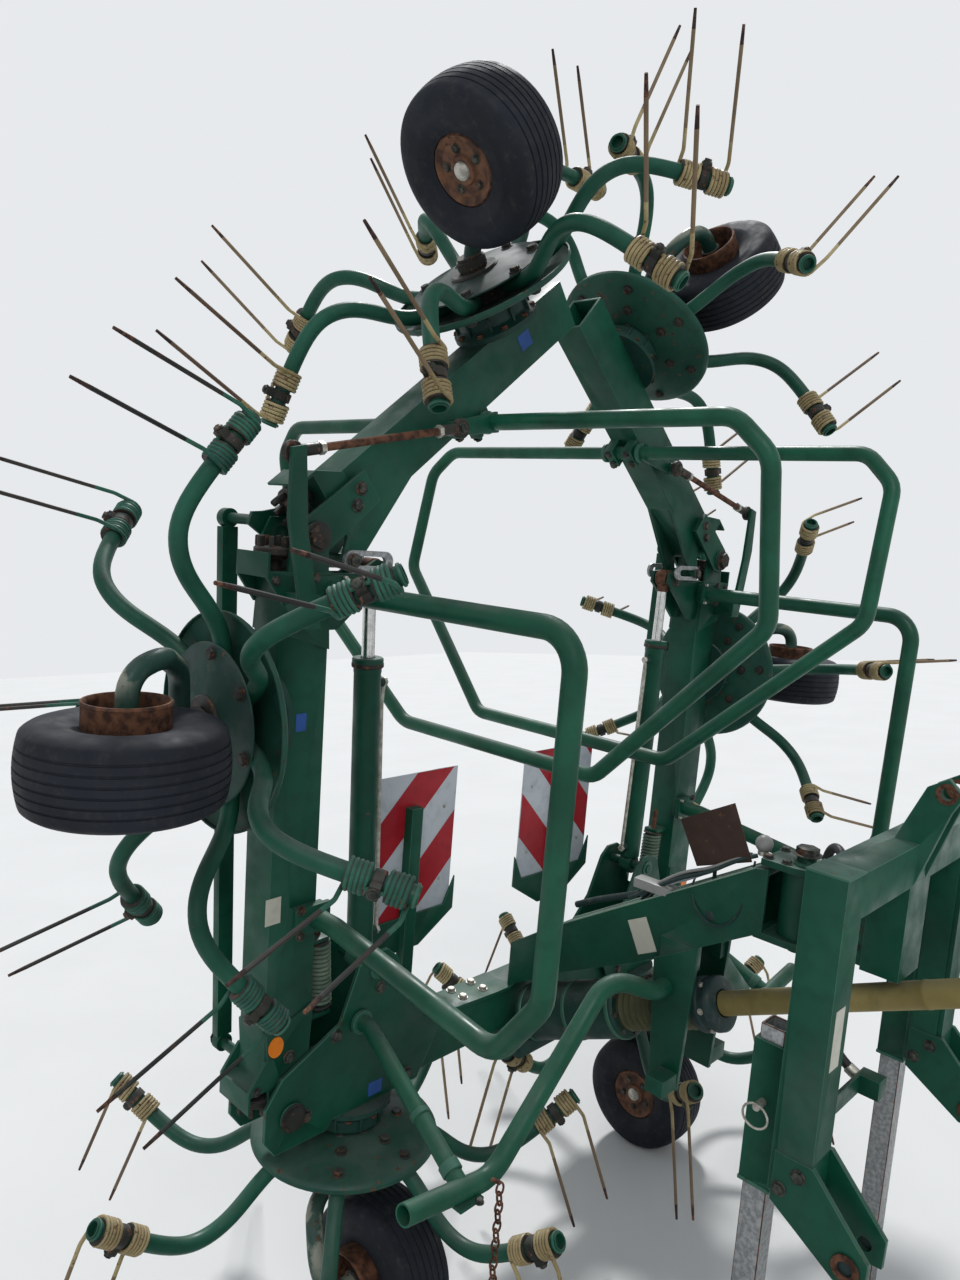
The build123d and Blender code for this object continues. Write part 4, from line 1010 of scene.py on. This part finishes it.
# One rib of the bellows: how far inside its radius, and the share of a rib's length
BELLOWS_RIB = ((12, 0.1), (9, 0.25), (1, 0.42), (0, 0.5), (1, 0.58), (9, 0.75))
COLLAR_R = 68
COLLAR_LENGTH = 62
COLLAR_PROFILE = ((50, 0), (COLLAR_R - 4, 0), (COLLAR_R, 5), (COLLAR_R, 20), (COLLAR_R - 5, 24),
                  (COLLAR_R - 5, 38), (COLLAR_R, 42), (COLLAR_R - 1, 56), (COLLAR_R - 8, COLLAR_LENGTH),
                  (34, COLLAR_LENGTH), (31, COLLAR_LENGTH - 4))
GUARD_PIPE_R = 31
GUARD_PIPE_LENGTH = 660
PIPE_RINGS = (240, 262, 500)
CONE_RIBS = 6
CONE_RIB = ((48, 6), (59.5, 13), (59.5, 16), (48, 23))
CONE_RIB_LENGTH = 18
CONE_LENGTH = 120
YOKE = ((20, 58, 70), (58, 20, 40))


def make_shaft_guard():
    """Bellows, collar, tube and front cone of the drive shaft's guard, with the yoke of the shaft."""
    guard = Piece("pto_guard_dressed")
    place = frame_at(drive_point(HOUSING[1]) + DRIVE_LINE * 0.3, DRIVE_LINE)
    rib = BELLOWS_LENGTH / BELLOWS_RIBS
    bellows = [(20, 0), (BELLOWS_R - 3, 0)]
    for i in range(BELLOWS_RIBS):
        bellows += [(BELLOWS_R - inside, i * rib + share * rib) for inside, share in BELLOWS_RIB]
    bellows.append((BELLOWS_R - 12, BELLOWS_LENGTH))
    guard.add(lathe(bellows, 56), BELLOWS, place)
    collar = [(r, BELLOWS_LENGTH + along) for r, along in COLLAR_PROFILE]
    guard.add(lathe(collar, 48), COLLAR, place)
    head = moved(bolt(11, 6), frame_at((COLLAR_R - 5, 0, BELLOWS_LENGTH + 31), (1, 0, 0)))
    for i in range(6):
        guard.add(head, STEEL, place @ spin(2 * pi * i / 6))
    start = BELLOWS_LENGTH + COLLAR_LENGTH
    end = start + GUARD_PIPE_LENGTH
    inner = GUARD_PIPE_R - 1
    pipe = [(inner, start)]
    for at in PIPE_RINGS:
        pipe += [(inner, start + at - 2), (GUARD_PIPE_R, start + at), (GUARD_PIPE_R, start + at + 8),
                 (inner, start + at + 10)]
    guard.add(lathe(pipe + [(inner, end)], 40), TUBE, place)
    front = [(GUARD_PIPE_R, end)]
    for i in range(CONE_RIBS):
        front += [(r, end + i * CONE_RIB_LENGTH + along) for r, along in CONE_RIB]
    tip = end + CONE_LENGTH
    guard.add(lathe(front + [(56, tip - 2), (50, tip), (28, tip)], 44), COLLAR, place)
    for sizes in YOKE:
        guard.add(block(sizes, 5), CAST, place @ shift(0, 0, tip + sizes[2] / 2))
    guard.bar((0, 0, tip - 8), (0, 0, tip + 10), 30, CAST, place=place)
    for way in (-1, 1):
        hole = place @ frame_at((way * 27.06, 0, tip + 56), (way, 0, 0))
        guard.add(lathe(((0, 0), (12, 0), (13, 4), (0, 5)), 20), STEEL, hole)
    guard.make(seat("centre", "far"), "frame", node="pto_guard", sharp=50)


# Boards
BOARD = (350, 423)
BOARD_X = 325
BOARD_Y = 132
BOARD_LOW = 425
BOARD_THICK = 3.2
BOARD_RIM = 1
STRIPE = 143
STRIPE_START = 0.35


def make_boards():
    """Two blank boards with slanting red stripes on both faces."""
    boards = Piece("warning_boards_striped")
    w, h = BOARD
    for sign in (-1, 1):
        middle = (sign * BOARD_X, 0, BOARD_LOW + h / 2)
        upright = across_row(middle[0], BOARD_Y, middle[2])
        boards.add(prism(rectangle(w, h), BOARD_THICK, 0.6), WHITE, upright)
        outline = rectangle(w - 2 * BOARD_RIM, h - 2 * BOARD_RIM)
        for k in range(-3, 3):
            low = (2 * k + STRIPE_START) * STRIPE
            band = cut(cut(outline, sign, 1, low + STRIPE), -sign, -1, -low)
            if len(band) > 2:
                for face in (-1, 1):
                    stripe = shift(0, face * 1.7, 0) @ upright
                    boards.add(prism(band, 0.35, 0), RED, stripe)
        for dx in (-130, 130):
            for dz in (-120, 96):
                point = (middle[0] + dx, BOARD_Y - 1.6, middle[2] + dz)
                boards.bolt((9, 2.2), point, (0, -1, 0), STEEL, False)
    boards.make(seat("centre", "far"), "frame", node="warning_boards")


# CAD pieces kept in shape, with their edges rounded
OUTER_EDGE = 28


def worn_copy(node, material, offset, edge_material):
    """A piece in the shape of a CAD node whose outer edges are rounded and worn."""
    bm = bmesh.new()
    bm.from_mesh(frame["nodes"][node].data)
    bmesh.ops.remove_doubles(bm, verts=bm.verts[:], dist=2e-5)
    bmesh.ops.dissolve_limit(bm, angle_limit=radians(0.6), verts=bm.verts[:], edges=bm.edges[:])
    edges = [edge for edge in bm.edges
             if len(edge.link_faces) == 2 and edge.calc_face_angle_signed(0) > radians(OUTER_EDGE)]
    bmesh.ops.bevel(bm, geom=edges, offset=offset * MM, segments=2, profile=0.6, affect="EDGES",
                    clamp_overlap=True, material=1)
    bmesh.ops.triangulate(bm, faces=[f for f in bm.faces if len(f.verts) > 4])
    mesh = bpy.data.meshes.new(node + "_worn")
    bm.to_mesh(mesh)
    bm.free()
    mesh.materials.append(material)
    mesh.materials.append(edge_material)
    mesh.shade_smooth()
    mesh.set_sharp_from_angle(angle=radians(30))
    thing = put(node + "_worn", mesh)
    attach(thing, BODY_OF[node])
    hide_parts(node)


# Pieces on the frame or the headstock, and those on each side, with their rounding
WORN_MIDDLE = (("centre_frame", 2.5), ("boom", 3), ("headstock", 3), ("board_posts", 1.5))
WORN_SIDE = (("stand", 2), ("inner_beam", 3), ("outer_beam", 3), ("fold_rod", 2))


def make_worn_pieces():
    """The frame's box sections and the stands, whose edges are worn."""
    for node, offset in WORN_MIDDLE:
        worn_copy(node, GREEN, offset, GREEN_EDGE)
    for side in SIDES:
        for name, offset in WORN_SIDE:
            paints = (GALV, RUST) if name == "stand" else (GREEN, GREEN_EDGE)
            worn_copy(side + "_" + name, paints[0], offset, paints[1])


# Hose
HOSE_R = 10
HOSE_ROUTE = ((-66, -928, 838), (-74, -936, 890), (-112, -968, 925), (-150, -1002, 915), (-176, -1018, 860),
              (-184, -1014, 795), (-184, -1008, 725), (-180, -1008, 655), (-177, -1013, 592),
              (-169, -1028, 536), (-162, -1057, 494), (-158, -1096, 472))


def make_hose():
    """The hydraulic hose at the headstock, with a fitting at each end."""
    m = seat("centre", "far")
    points = [m @ Vector(p) for p in HOSE_ROUTE]
    curve = bpy.data.curves.new("hydraulic_hose", "CURVE")
    curve.dimensions = "3D"
    spline = curve.splines.new("NURBS")
    spline.points.add(len(points) - 1)
    for slot_point, p in zip(spline.points, points):
        slot_point.co = (*p, 1)
    spline.order_u = 3
    spline.use_endpoint_u = True
    spline.resolution_u = 12
    bare = bpy.data.objects.new("hose_measure", curve.copy())
    track = [v.co.copy() for v in bpy.data.meshes.new_from_object(bare).vertices]
    bpy.data.objects.remove(bare)
    curve.bevel_depth = HOSE_R * MM
    curve.bevel_resolution = 6
    curve.use_fill_caps = True
    curve.materials.append(HOSE)
    hose = put("hydraulic_hose", curve)
    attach(hose, "headstock")
    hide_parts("hose")
    fittings = Piece("hose_fittings")
    inverse = m.inverted()
    for a, b in ((track[0], track[1]), (track[-1], track[-2])):
        a, b = inverse @ a, inverse @ b
        way = (b - a).normalized()
        fittings.bar(a - way * 6, a + way * 34, 12.5, STEEL, 24, 2)
        fittings.add(lathe(((0, 0), (16, 0), (16, 12), (0, 12)), 6), STEEL, frame_at(a - way * 4, way))
    collar = fittings.make(m, "headstock", "galvanised")


def stadium(length, radius, count=12):
    """The outline of a slot along x, starting at its first centre."""
    out = []
    for centre, start in ((length, -pi / 2), (0, pi / 2)):
        for i in range(count + 1):
            a = start + pi * i / count
            out.append((centre + radius * cos(a), radius * sin(a)))
    return out


def ring_plate(outer, inner, thickness):
    """A flat ring between two outlines with the same number of points."""
    points, faces = [], []
    n = len(outer)
    for outline, z in ((outer, -1), (outer, 1), (inner, 1), (inner, -1)):
        points += [Vector((x, y, z * thickness / 2)) for x, y in outline]
    for ring in range(4):
        after = (ring + 1) % 4
        for i in range(n):
            j = (i + 1) % n
            faces.append((ring * n + i, ring * n + j, after * n + j, after * n + i))
    return points, faces


def disc_in(plane_point, normal, radius, thickness=1.2, squash=1.0):
    """A thin oval on a surface."""
    shape = lathe(((0, 0), (radius - 0.4, 0), (radius, 0.4), (radius - 0.4, thickness), (0, thickness)), 32)
    return moved(shape, frame_at(plane_point, normal) @ Matrix.Scale(squash, 4, (0, 1, 0)))


# Hinge bolts, lift details and springs of the wings
EAR_FACE = 86
EAR_SIDE = 76
BEAM_FACE = 50.5
SPRING_FROM = (1041, 273)
SPRING_TO = (1196, 262)
SPRING_R = 27
SPRING_WIRE = 5
SPRING_TURNS = 14
SLOT_LINK = (96, 23, 11)
SLOT_LINK_ANGLE = 39.5
LIFT_PIN = (60, 114)
FOLD_ROD_Y = 190
REFLECTOR = (1008, 112)


def make_wing_details():
    """Bolts, springs, slotted links, reflectors and blank stickers of the folding beams."""
    for side in SIDES:
        near = side == "near"
        make_centre_bolts(side, near)
        make_inner_details(side, near)
        make_outer_bolts(side, near)
        rod = Piece(side + "_fold_rod_bolts")
        rod.bolt((26, 12), (PIVOT_1[0] + 25, FOLD_ROD_Y + 20, PIVOT_1[1] + 75), (0, 1, 0))
        rod.make(seat("centre", side), "frame", "dark_paint")


def add_hinge_pin(piece, pivot, face):
    """The head and the collar of a hinge pin on one side of the ears."""
    x, z = pivot
    piece.bolt((46, 15), (x, face * (EAR_FACE - 1), z), (0, face, 0), CAST)
    piece.bar((x, face * EAR_SIDE, z), (x, face * (EAR_SIDE + 3), z), 31, GREEN_EDGE, 36)


CENTRE_BOLTS = ((581, 388), (711, 305), (787, 132), (470, 120))
OUTER_BOLTS = ((130, 12), (160, -12))
BEAM_BOLTS = (140, 58)
FLANGE_BOLTS = (92, 60.2)
FLANGE_HEIGHTS = (-86, -20, 46)
# Blank stickers of the near side: x, z, width, height and colour
INNER_STICKERS = ((1334, 96, 62, 40, STICKER), (1759, 150, 40, 28, BLUE))


def make_centre_bolts(side, near):
    """What is bolted to the frame at the first hinge."""
    centre = Piece(side + "_hinge_bolts_centre")
    bx, bz = CYLINDER_BASE.x, CYLINDER_BASE.z
    for face in (-1, 1):
        add_hinge_pin(centre, PIVOT_1, face)
        for x, z in CENTRE_BOLTS:
            centre.bolt((22, 10), (x, face * EAR_SIDE, z), (0, face, 0))
        centre.bar((bx, face * EAR_SIDE, bz), (bx, face * (EAR_SIDE + 4), bz), 27, GREEN_EDGE, 32)
    if near:
        centre.add(sheet(44, 36, across_row(575, -EAR_SIDE - 0.5, 120)), BLUE)
    centre.make(seat("centre", side), "frame", "dark_paint")


def make_outer_bolts(side, near):
    """What is bolted to the outer beam at the second hinge, with its slotted link."""
    outer = Piece(side + "_hinge_bolts_outer")
    length, r, slot_r = SLOT_LINK
    angle = radians(SLOT_LINK_ANGLE)
    inside = [(x + slot_r, y) for x, y in stadium(length - 2 * slot_r, slot_r)]
    loop = ring_plate(stadium(length, r + 0.8), inside, 8.4)
    clip_z = BOW_BAR[1] + 29
    for face in (-1, 1):
        out = (0, face, 0)
        add_hinge_pin(outer, PIVOT_2, face)
        for dx, dz in OUTER_BOLTS:
            outer.bolt((22, 10), (PIVOT_2[0] + dx, face * EAR_SIDE, PIVOT_2[1] + dz), out)
        start = Vector((PIVOT_2[0] + LIFT_PIN[0], face * 53.5, PIVOT_2[1] + LIFT_PIN[1]))
        outer.add(loop, GALV, frame_at(start, out, (cos(angle), 0, sin(angle))))
        outer.bolt((24, 9), start + Vector((0, face * 10, 0)), out)
        for x in (BOW_BAR[0] - 22, BOW_BAR[0] + 22):
            clip_y = sorted((face * 18, face * 48))
            outer.add(box((x - 7, x + 7), clip_y, (clip_z - 3.5, clip_z), 1), GREEN_EDGE)
            outer.bolt((17, 9), (x, face * 33, clip_z), (0, 0, 1))
    if near:
        outer.add(sheet(48, 40, across_row(3006, -BEAM_FACE, 146)), BLUE)
    outer.make(seat("outer", side), side + "_outer_wing", "dark_paint")


def make_inner_details(side, near):
    """Bolts, spring, reflector and blank stickers of the inner beam."""
    inner = Piece(side + "_inner_wing_details")
    for face in (-1, 1):
        out = (0, face, 0)
        reach, y = BEAM_BOLTS
        for x in (PIVOT_1[0] + reach, PIVOT_2[0] - reach):
            inner.bolt((22, 9), (x, face * y, PIVOT_1[1]), out)
        reach, y = FLANGE_BOLTS
        for x in (PIVOT_1[0] + reach, PIVOT_2[0] - reach):
            for dz in FLANGE_HEIGHTS:
                inner.bolt((15, 7), (x - 4, face * y, PIVOT_1[1] + dz), out)
    a = Vector((SPRING_FROM[0], 0, SPRING_FROM[1]))
    b = Vector((SPRING_TO[0], 0, SPRING_TO[1]))
    line = b - a
    way = line.normalized()
    coil = helix(a, line, (0, 1, 0), SPRING_R, SPRING_TURNS, line.length)
    inner.add(tube(coil, SPRING_WIRE, 8), SPRING_PAINT)
    inner.bar(a - way * 26, b + way * 84, 8, RUST, 16)
    for at in (a - way * 8, b + way * 4):
        inner.bar(at - way * 3, at + way * 3, 31, CAST, 32)
    for at in (a - way * 22, b + way * 14):
        inner.add(box((at.x - 6, at.x + 6), (-26, 26), (211, at.z + 16), 3), GREEN)
    for y in (-1, 1):
        inner.bolt((24, 10), (PIVOT_2[0] - 84, y * 36, 350), (0, y, 0))
    inner.add(disc_in((REFLECTOR[0], -58.1, REFLECTOR[1]), (0, -1, 0), 25, 3, 0.8), ORANGE)
    if near:
        for x, z, w, h, colour in INNER_STICKERS:
            inner.add(sheet(w, h, across_row(x, -BEAM_FACE, z)), colour)
    inner.make(seat("inner", side), side + "_inner_wing", "dark_paint")


# Boom, headstock and stands
PLATE_CORNERS = ((-30, -543, 852), (-30, -684, 930), (-30, -744, 801), (-30, -602, 747))
BOOM_EDGE = ((-180, 441), (-770, 801))
BOOM_SIDE = 60.2
BOOM_HOLE = (-666, 648)
SWIVEL_Y = -862
SWIVEL_CAPS = (638, 829)
STICKER_AT = (-485, 531)
STICKER_LEAN = 28
CABLES = ((COLLAR, 5), (LAMP, 4), (WHITE, 3), (COLLAR, 4), (LAMP, 3.5), (COLLAR, 3))
CABLE_LOOP = ((-30, -600, 716), (-62, -606, 690), (-68, -640, 640), (-69, -690, 626), (-67, -740, 660),
              (-52, -752, 742), (-30, -752, 806))
PLUG = (Vector((-44, -452, 634)), Vector((-40, -540, 692)))
PLUG_TAIL = ((-40, -452, 628), (-28, -380, 592), (-20, -310, 560), (-16, -240, 520))
LAMP_AT = (-6, -758, 846)
LAMP_R = 21
LEG_X = 360
LEG_Y = -1070
LEG_SIDE = 50.2
LEG_BOLTS = ((LEG_Y - 20, 372), (LEG_Y + 14, 330))
MAST = (-1150, 1072)
MAST_RING = ((13, 0), (22, 0), (22, 3), (13, 3), (13, 0))
HITCH = (-1195, 252)
HITCH_RING = ((14.4, 0), (25, 0), (26, 1.5), (26, 4), (25, 5), (14.4, 5), (14.4, 0))
SLEEVE_Y = LEG_Y + 73
STAND_PIN_Z = 470
UP = (0, 0, 1)


def make_boom_details():
    """Bolts, worn lips, cables, lamp, blank plate and blank sticker of the boom."""
    boom = Piece("boom_details")
    (y1, z1), (y2, z2) = BOOM_EDGE
    run = Vector((0, y2 - y1, z2 - z1))
    for x in (-55, 55):
        middle = Vector((x, (y1 + y2) / 2, (z1 + z2) / 2))
        lip = block((run.length - 10, 9, 5), 2)
        boom.add(lip, LIP, frame_at(middle, run.cross(Vector((1, 0, 0))), run))
    for way in (-1, 1):
        boom.add(disc_in((way * BOOM_SIDE, *BOOM_HOLE), (way, 0, 0), 12.5, 0.8), COLLAR)
    for z in SWIVEL_CAPS:
        boom.bar((0, SWIVEL_Y, z - 4), (0, SWIVEL_Y, z + 4), 36, GREEN_EDGE, 36)
    boom.bolt((46, 18), (0, SWIVEL_Y, 850), UP)
    for x in (-44, 44):
        for y in (-790, -835):
            boom.bolt((18, 9), (x, y, SWIVEL_CAPS[1]), UP)
    for way in (-1, 1):
        for x in (140, 220, 300):
            for y in (-26, 22):
                boom.bolt((20, 10), (way * x, y, 223), UP, STEEL)
    add_plate_and_cables(boom)
    ball = [(LAMP_R * cos(radians(a)), LAMP_R * sin(radians(a))) for a in range(-75, 90, 15)]
    boom.add(lathe([(0, -LAMP_R)] + ball + [(0, LAMP_R)], 32), LAMP, shift(*LAMP_AT))
    x, y, z = LAMP_AT
    boom.bar((x, y, z - 28), (x, y, z - 16), 13, STEEL)
    upright = Matrix(((0, 0, -1, -60.5), (-1, 0, 0, STICKER_AT[0]), (0, 1, 0, STICKER_AT[1]), (0, 0, 0, 1)))
    boom.add(sheet(60, 88, upright @ spin(radians(STICKER_LEAN))), STICKER)
    boom.make(seat("centre", "far"), "frame", "dark_paint")


def add_plate_and_cables(boom):
    """A blank dark plate, and a bundle of cables with its connector."""
    corners = [Vector(p) for p in PLATE_CORNERS]
    middle = sum(corners, Vector()) / 4
    normal = (corners[1] - corners[0]).cross(corners[3] - corners[0]).normalized()
    at = frame_at(middle, normal, corners[1] - corners[0])
    flat = [at.inverted() @ p for p in corners]
    boom.add(prism([(p.x, p.y) for p in flat][::-1], 4, 1), PLATE, at)
    foot = [middle + Vector((10, 0, -20)), middle + Vector((34, 10, -90)), Vector((-12, middle.y, 700))]
    boom.add(tube(rounded(foot, 20), 5, 10), GREEN_DEEP)
    for i, (colour, r) in enumerate(CABLES):
        wobble = 8 * (i - 2.5)
        route = ((-38 + wobble * 0.7, -430 - 9 * i, 613 + 4 * (i % 3)),
                 (-36 + wobble, -500, 660 + 9 * (i % 2)),
                 (-34 + wobble * 0.6, -570, 700 + 14 * ((i + 1) % 3)),
                 (-30 + wobble, -640, 742 + 10 * (i % 2)),
                 (-26 + wobble * 0.5, -700, 792 + 5 * (i % 3)), (-22, -752 + 4 * i, 818))
        boom.add(tube(smooth(route, 7), r, 10), colour)
    boom.add(tube(smooth(CABLE_LOOP, 8), 2.6, 8), COLLAR)
    line = PLUG[1] - PLUG[0]
    boom.add(block((line.length, 40, 26), 5), LAMP, frame_at((PLUG[0] + PLUG[1]) / 2, UP, line))
    boom.add(tube(smooth(PLUG_TAIL, 6), 9, 12), COLLAR)


def make_headstock_details():
    """Bushes, bolts, stand pins and worn caps of the headstock."""
    head = Piece("headstock_details")
    for side in (-1, 1):
        x = side * LEG_X
        for face in (-1, 1):
            out = (face, 0, 0)
            fx = x + face * LEG_SIDE
            head.add(disc_in((fx, *HITCH), out, 14.2, 0.6), COLLAR)
            head.add(lathe(HITCH_RING, 36), RUST, frame_at((fx, *HITCH), out))
            for y, z in LEG_BOLTS:
                head.bolt((20, 9), (fx, y, z), out)
            head.add(lathe(MAST_RING, 28), RUST, frame_at((side * 33 + face * 7, *MAST), out))
        head.bar((x - 50 * side, SLEEVE_Y, STAND_PIN_Z), (x + 62 * side, SLEEVE_Y, STAND_PIN_Z), 8, STEEL, 18)
        hoop = [Vector((x + 60 * side, SLEEVE_Y + 26 * sin(a), STAND_PIN_Z - 18 + 24 * cos(a)))
                for a in (2 * pi * k / 20 for k in range(20))]
        head.add(tube(hoop, 2.4, 8, closed=True), STEEL)
        head.add(box((x - 34, x + 34), (SLEEVE_Y - 34, SLEEVE_Y + 34), (292, 300), 2), GREEN_EDGE)
        head.add(box((x - 42, x + 42), (LEG_Y - 42, LEG_Y + 42), (953, 958), 2), GREEN_EDGE)
        rib_x = x - side * 46
        head.add(box((rib_x - 3, rib_x + 3), (LEG_Y - 30, LEG_Y + 30), (400, 860), 2), GREEN)
    for z in (700, 740, 780):
        head.bolt((18, 9), (-55, LEG_Y + 60, z), (-1, 0, 0))
    head.add(sheet(40, 120, across_row(-362, LEG_Y - 41.5, 640)), STICKER)
    head.make(seat("centre", "far"), "headstock", "dark_paint")


CHAIN_LINKS = 13


def make_chain():
    """The short safety chain that hangs from the near centre guard's bracket."""
    chain = Piece("near_guard_chain")
    link = [Vector((9 * cos(a), 0, 15 * sin(a))) for a in (2 * pi * k / 16 for k in range(16))]
    top = Vector((606, -534, 122))
    for i in range(CHAIN_LINKS):
        turn = spin(pi / 2 * (i % 2) + 0.3)
        at = Matrix.Translation(top + Vector((0.8 * sin(i * 1.7), 0.6 * cos(i * 2.1), -22 * i)))
        chain.add(tube([at @ turn @ p for p in link], 2.6, 8, closed=True), RUST)
    chain.add(tube([Vector((606, -534, 136)), Vector((618, -520, 142)), Vector((640, -500, 142))], 5, 10),
              RUST)
    chain.make(seat("centre", "near"), "frame", "dark_paint")


# The stage. Each light has its strength, its spread, its tilt from straight down and its turn, in degrees.
SUNS = (("key", 3.0, 7, -36, -52), ("front", 0.8, 30, 52, -40))
FLOOR_HALF = 30
FLOOR_COLOURS = ((0.585, 0.585, 0.58), (0.605, 0.605, 0.60))
SKY = ((0.86, 0.93, 1), 0.5)
BACKGROUND = ((0.80, 0.82, 0.84), 1.0)


def make_stage():
    """A pale floor, two soft suns and a plain light background."""
    n = Nodes("pale_floor")
    colour = n.mix(n.ramp(n.noise(1.2), 0.3, 0.7), *FLOOR_COLOURS)
    mesh = bpy.data.meshes.new("floor")
    corners = [(x * FLOOR_HALF, y * FLOOR_HALF, 0) for x, y in ((-1, -1), (1, -1), (1, 1), (-1, 1))]
    mesh.from_pydata(corners, [], [(0, 1, 2, 3)])
    mesh.materials.append(n.finish(colour, 0.85, n.noise(60, 4), 0.05))
    floor = put("floor", mesh)
    world = bpy.data.worlds.new("studio")
    world.use_nodes = True
    world.node_tree.nodes.clear()
    tree = Tree(world.node_tree)
    path = tree.make("ShaderNodeLightPath", {})
    seen = path["Is Camera Ray"]
    for ray in ("Is Glossy Ray", "Is Transmission Ray"):
        seen = tree.make("ShaderNodeMath", {0: seen, 1: path[ray]}, operation="MAXIMUM")[0]
    sky, back = (tree.make("ShaderNodeBackground", {0: colour, 1: strength})[0]
                 for colour, strength in (SKY, BACKGROUND))
    tree.make("ShaderNodeOutputWorld", {0: tree.make("ShaderNodeMixShader", {0: seen, 1: sky, 2: back})[0]})
    bpy.context.scene.world = world
    for name, energy, spread, pitch, turn in SUNS:
        data = bpy.data.lights.new(name, "SUN")
        data.energy = energy
        data.angle = radians(spread)
        put(name, data).rotation_euler = (radians(pitch), 0, radians(turn))
    bpy.context.scene.view_settings.view_transform = "Standard"


FINISH = {"green_paint": GREEN, "dark_paint": GREEN_DEEP, "dark_plastic": BELLOWS, "board_paint": WHITE,
          "rubber_hose": HOSE, "galvanised": GALV, "chromed_steel": CHROME, "tyre_rubber": TYRE,
          "rusty_rim": RUST}
for name, node in frame["nodes"].items():
    node.data.materials.clear()
    node.data.materials.append(FINISH[SLOT_OF[name]])

make_rotors()
make_wheels()
make_drives()
make_guards()
make_cylinders()
make_shaft_guard()
make_boards()
make_worn_pieces()
make_hose()
make_wing_details()
make_boom_details()
make_headstock_details()
make_chain()
make_stage()
bpy.context.view_layer.update()
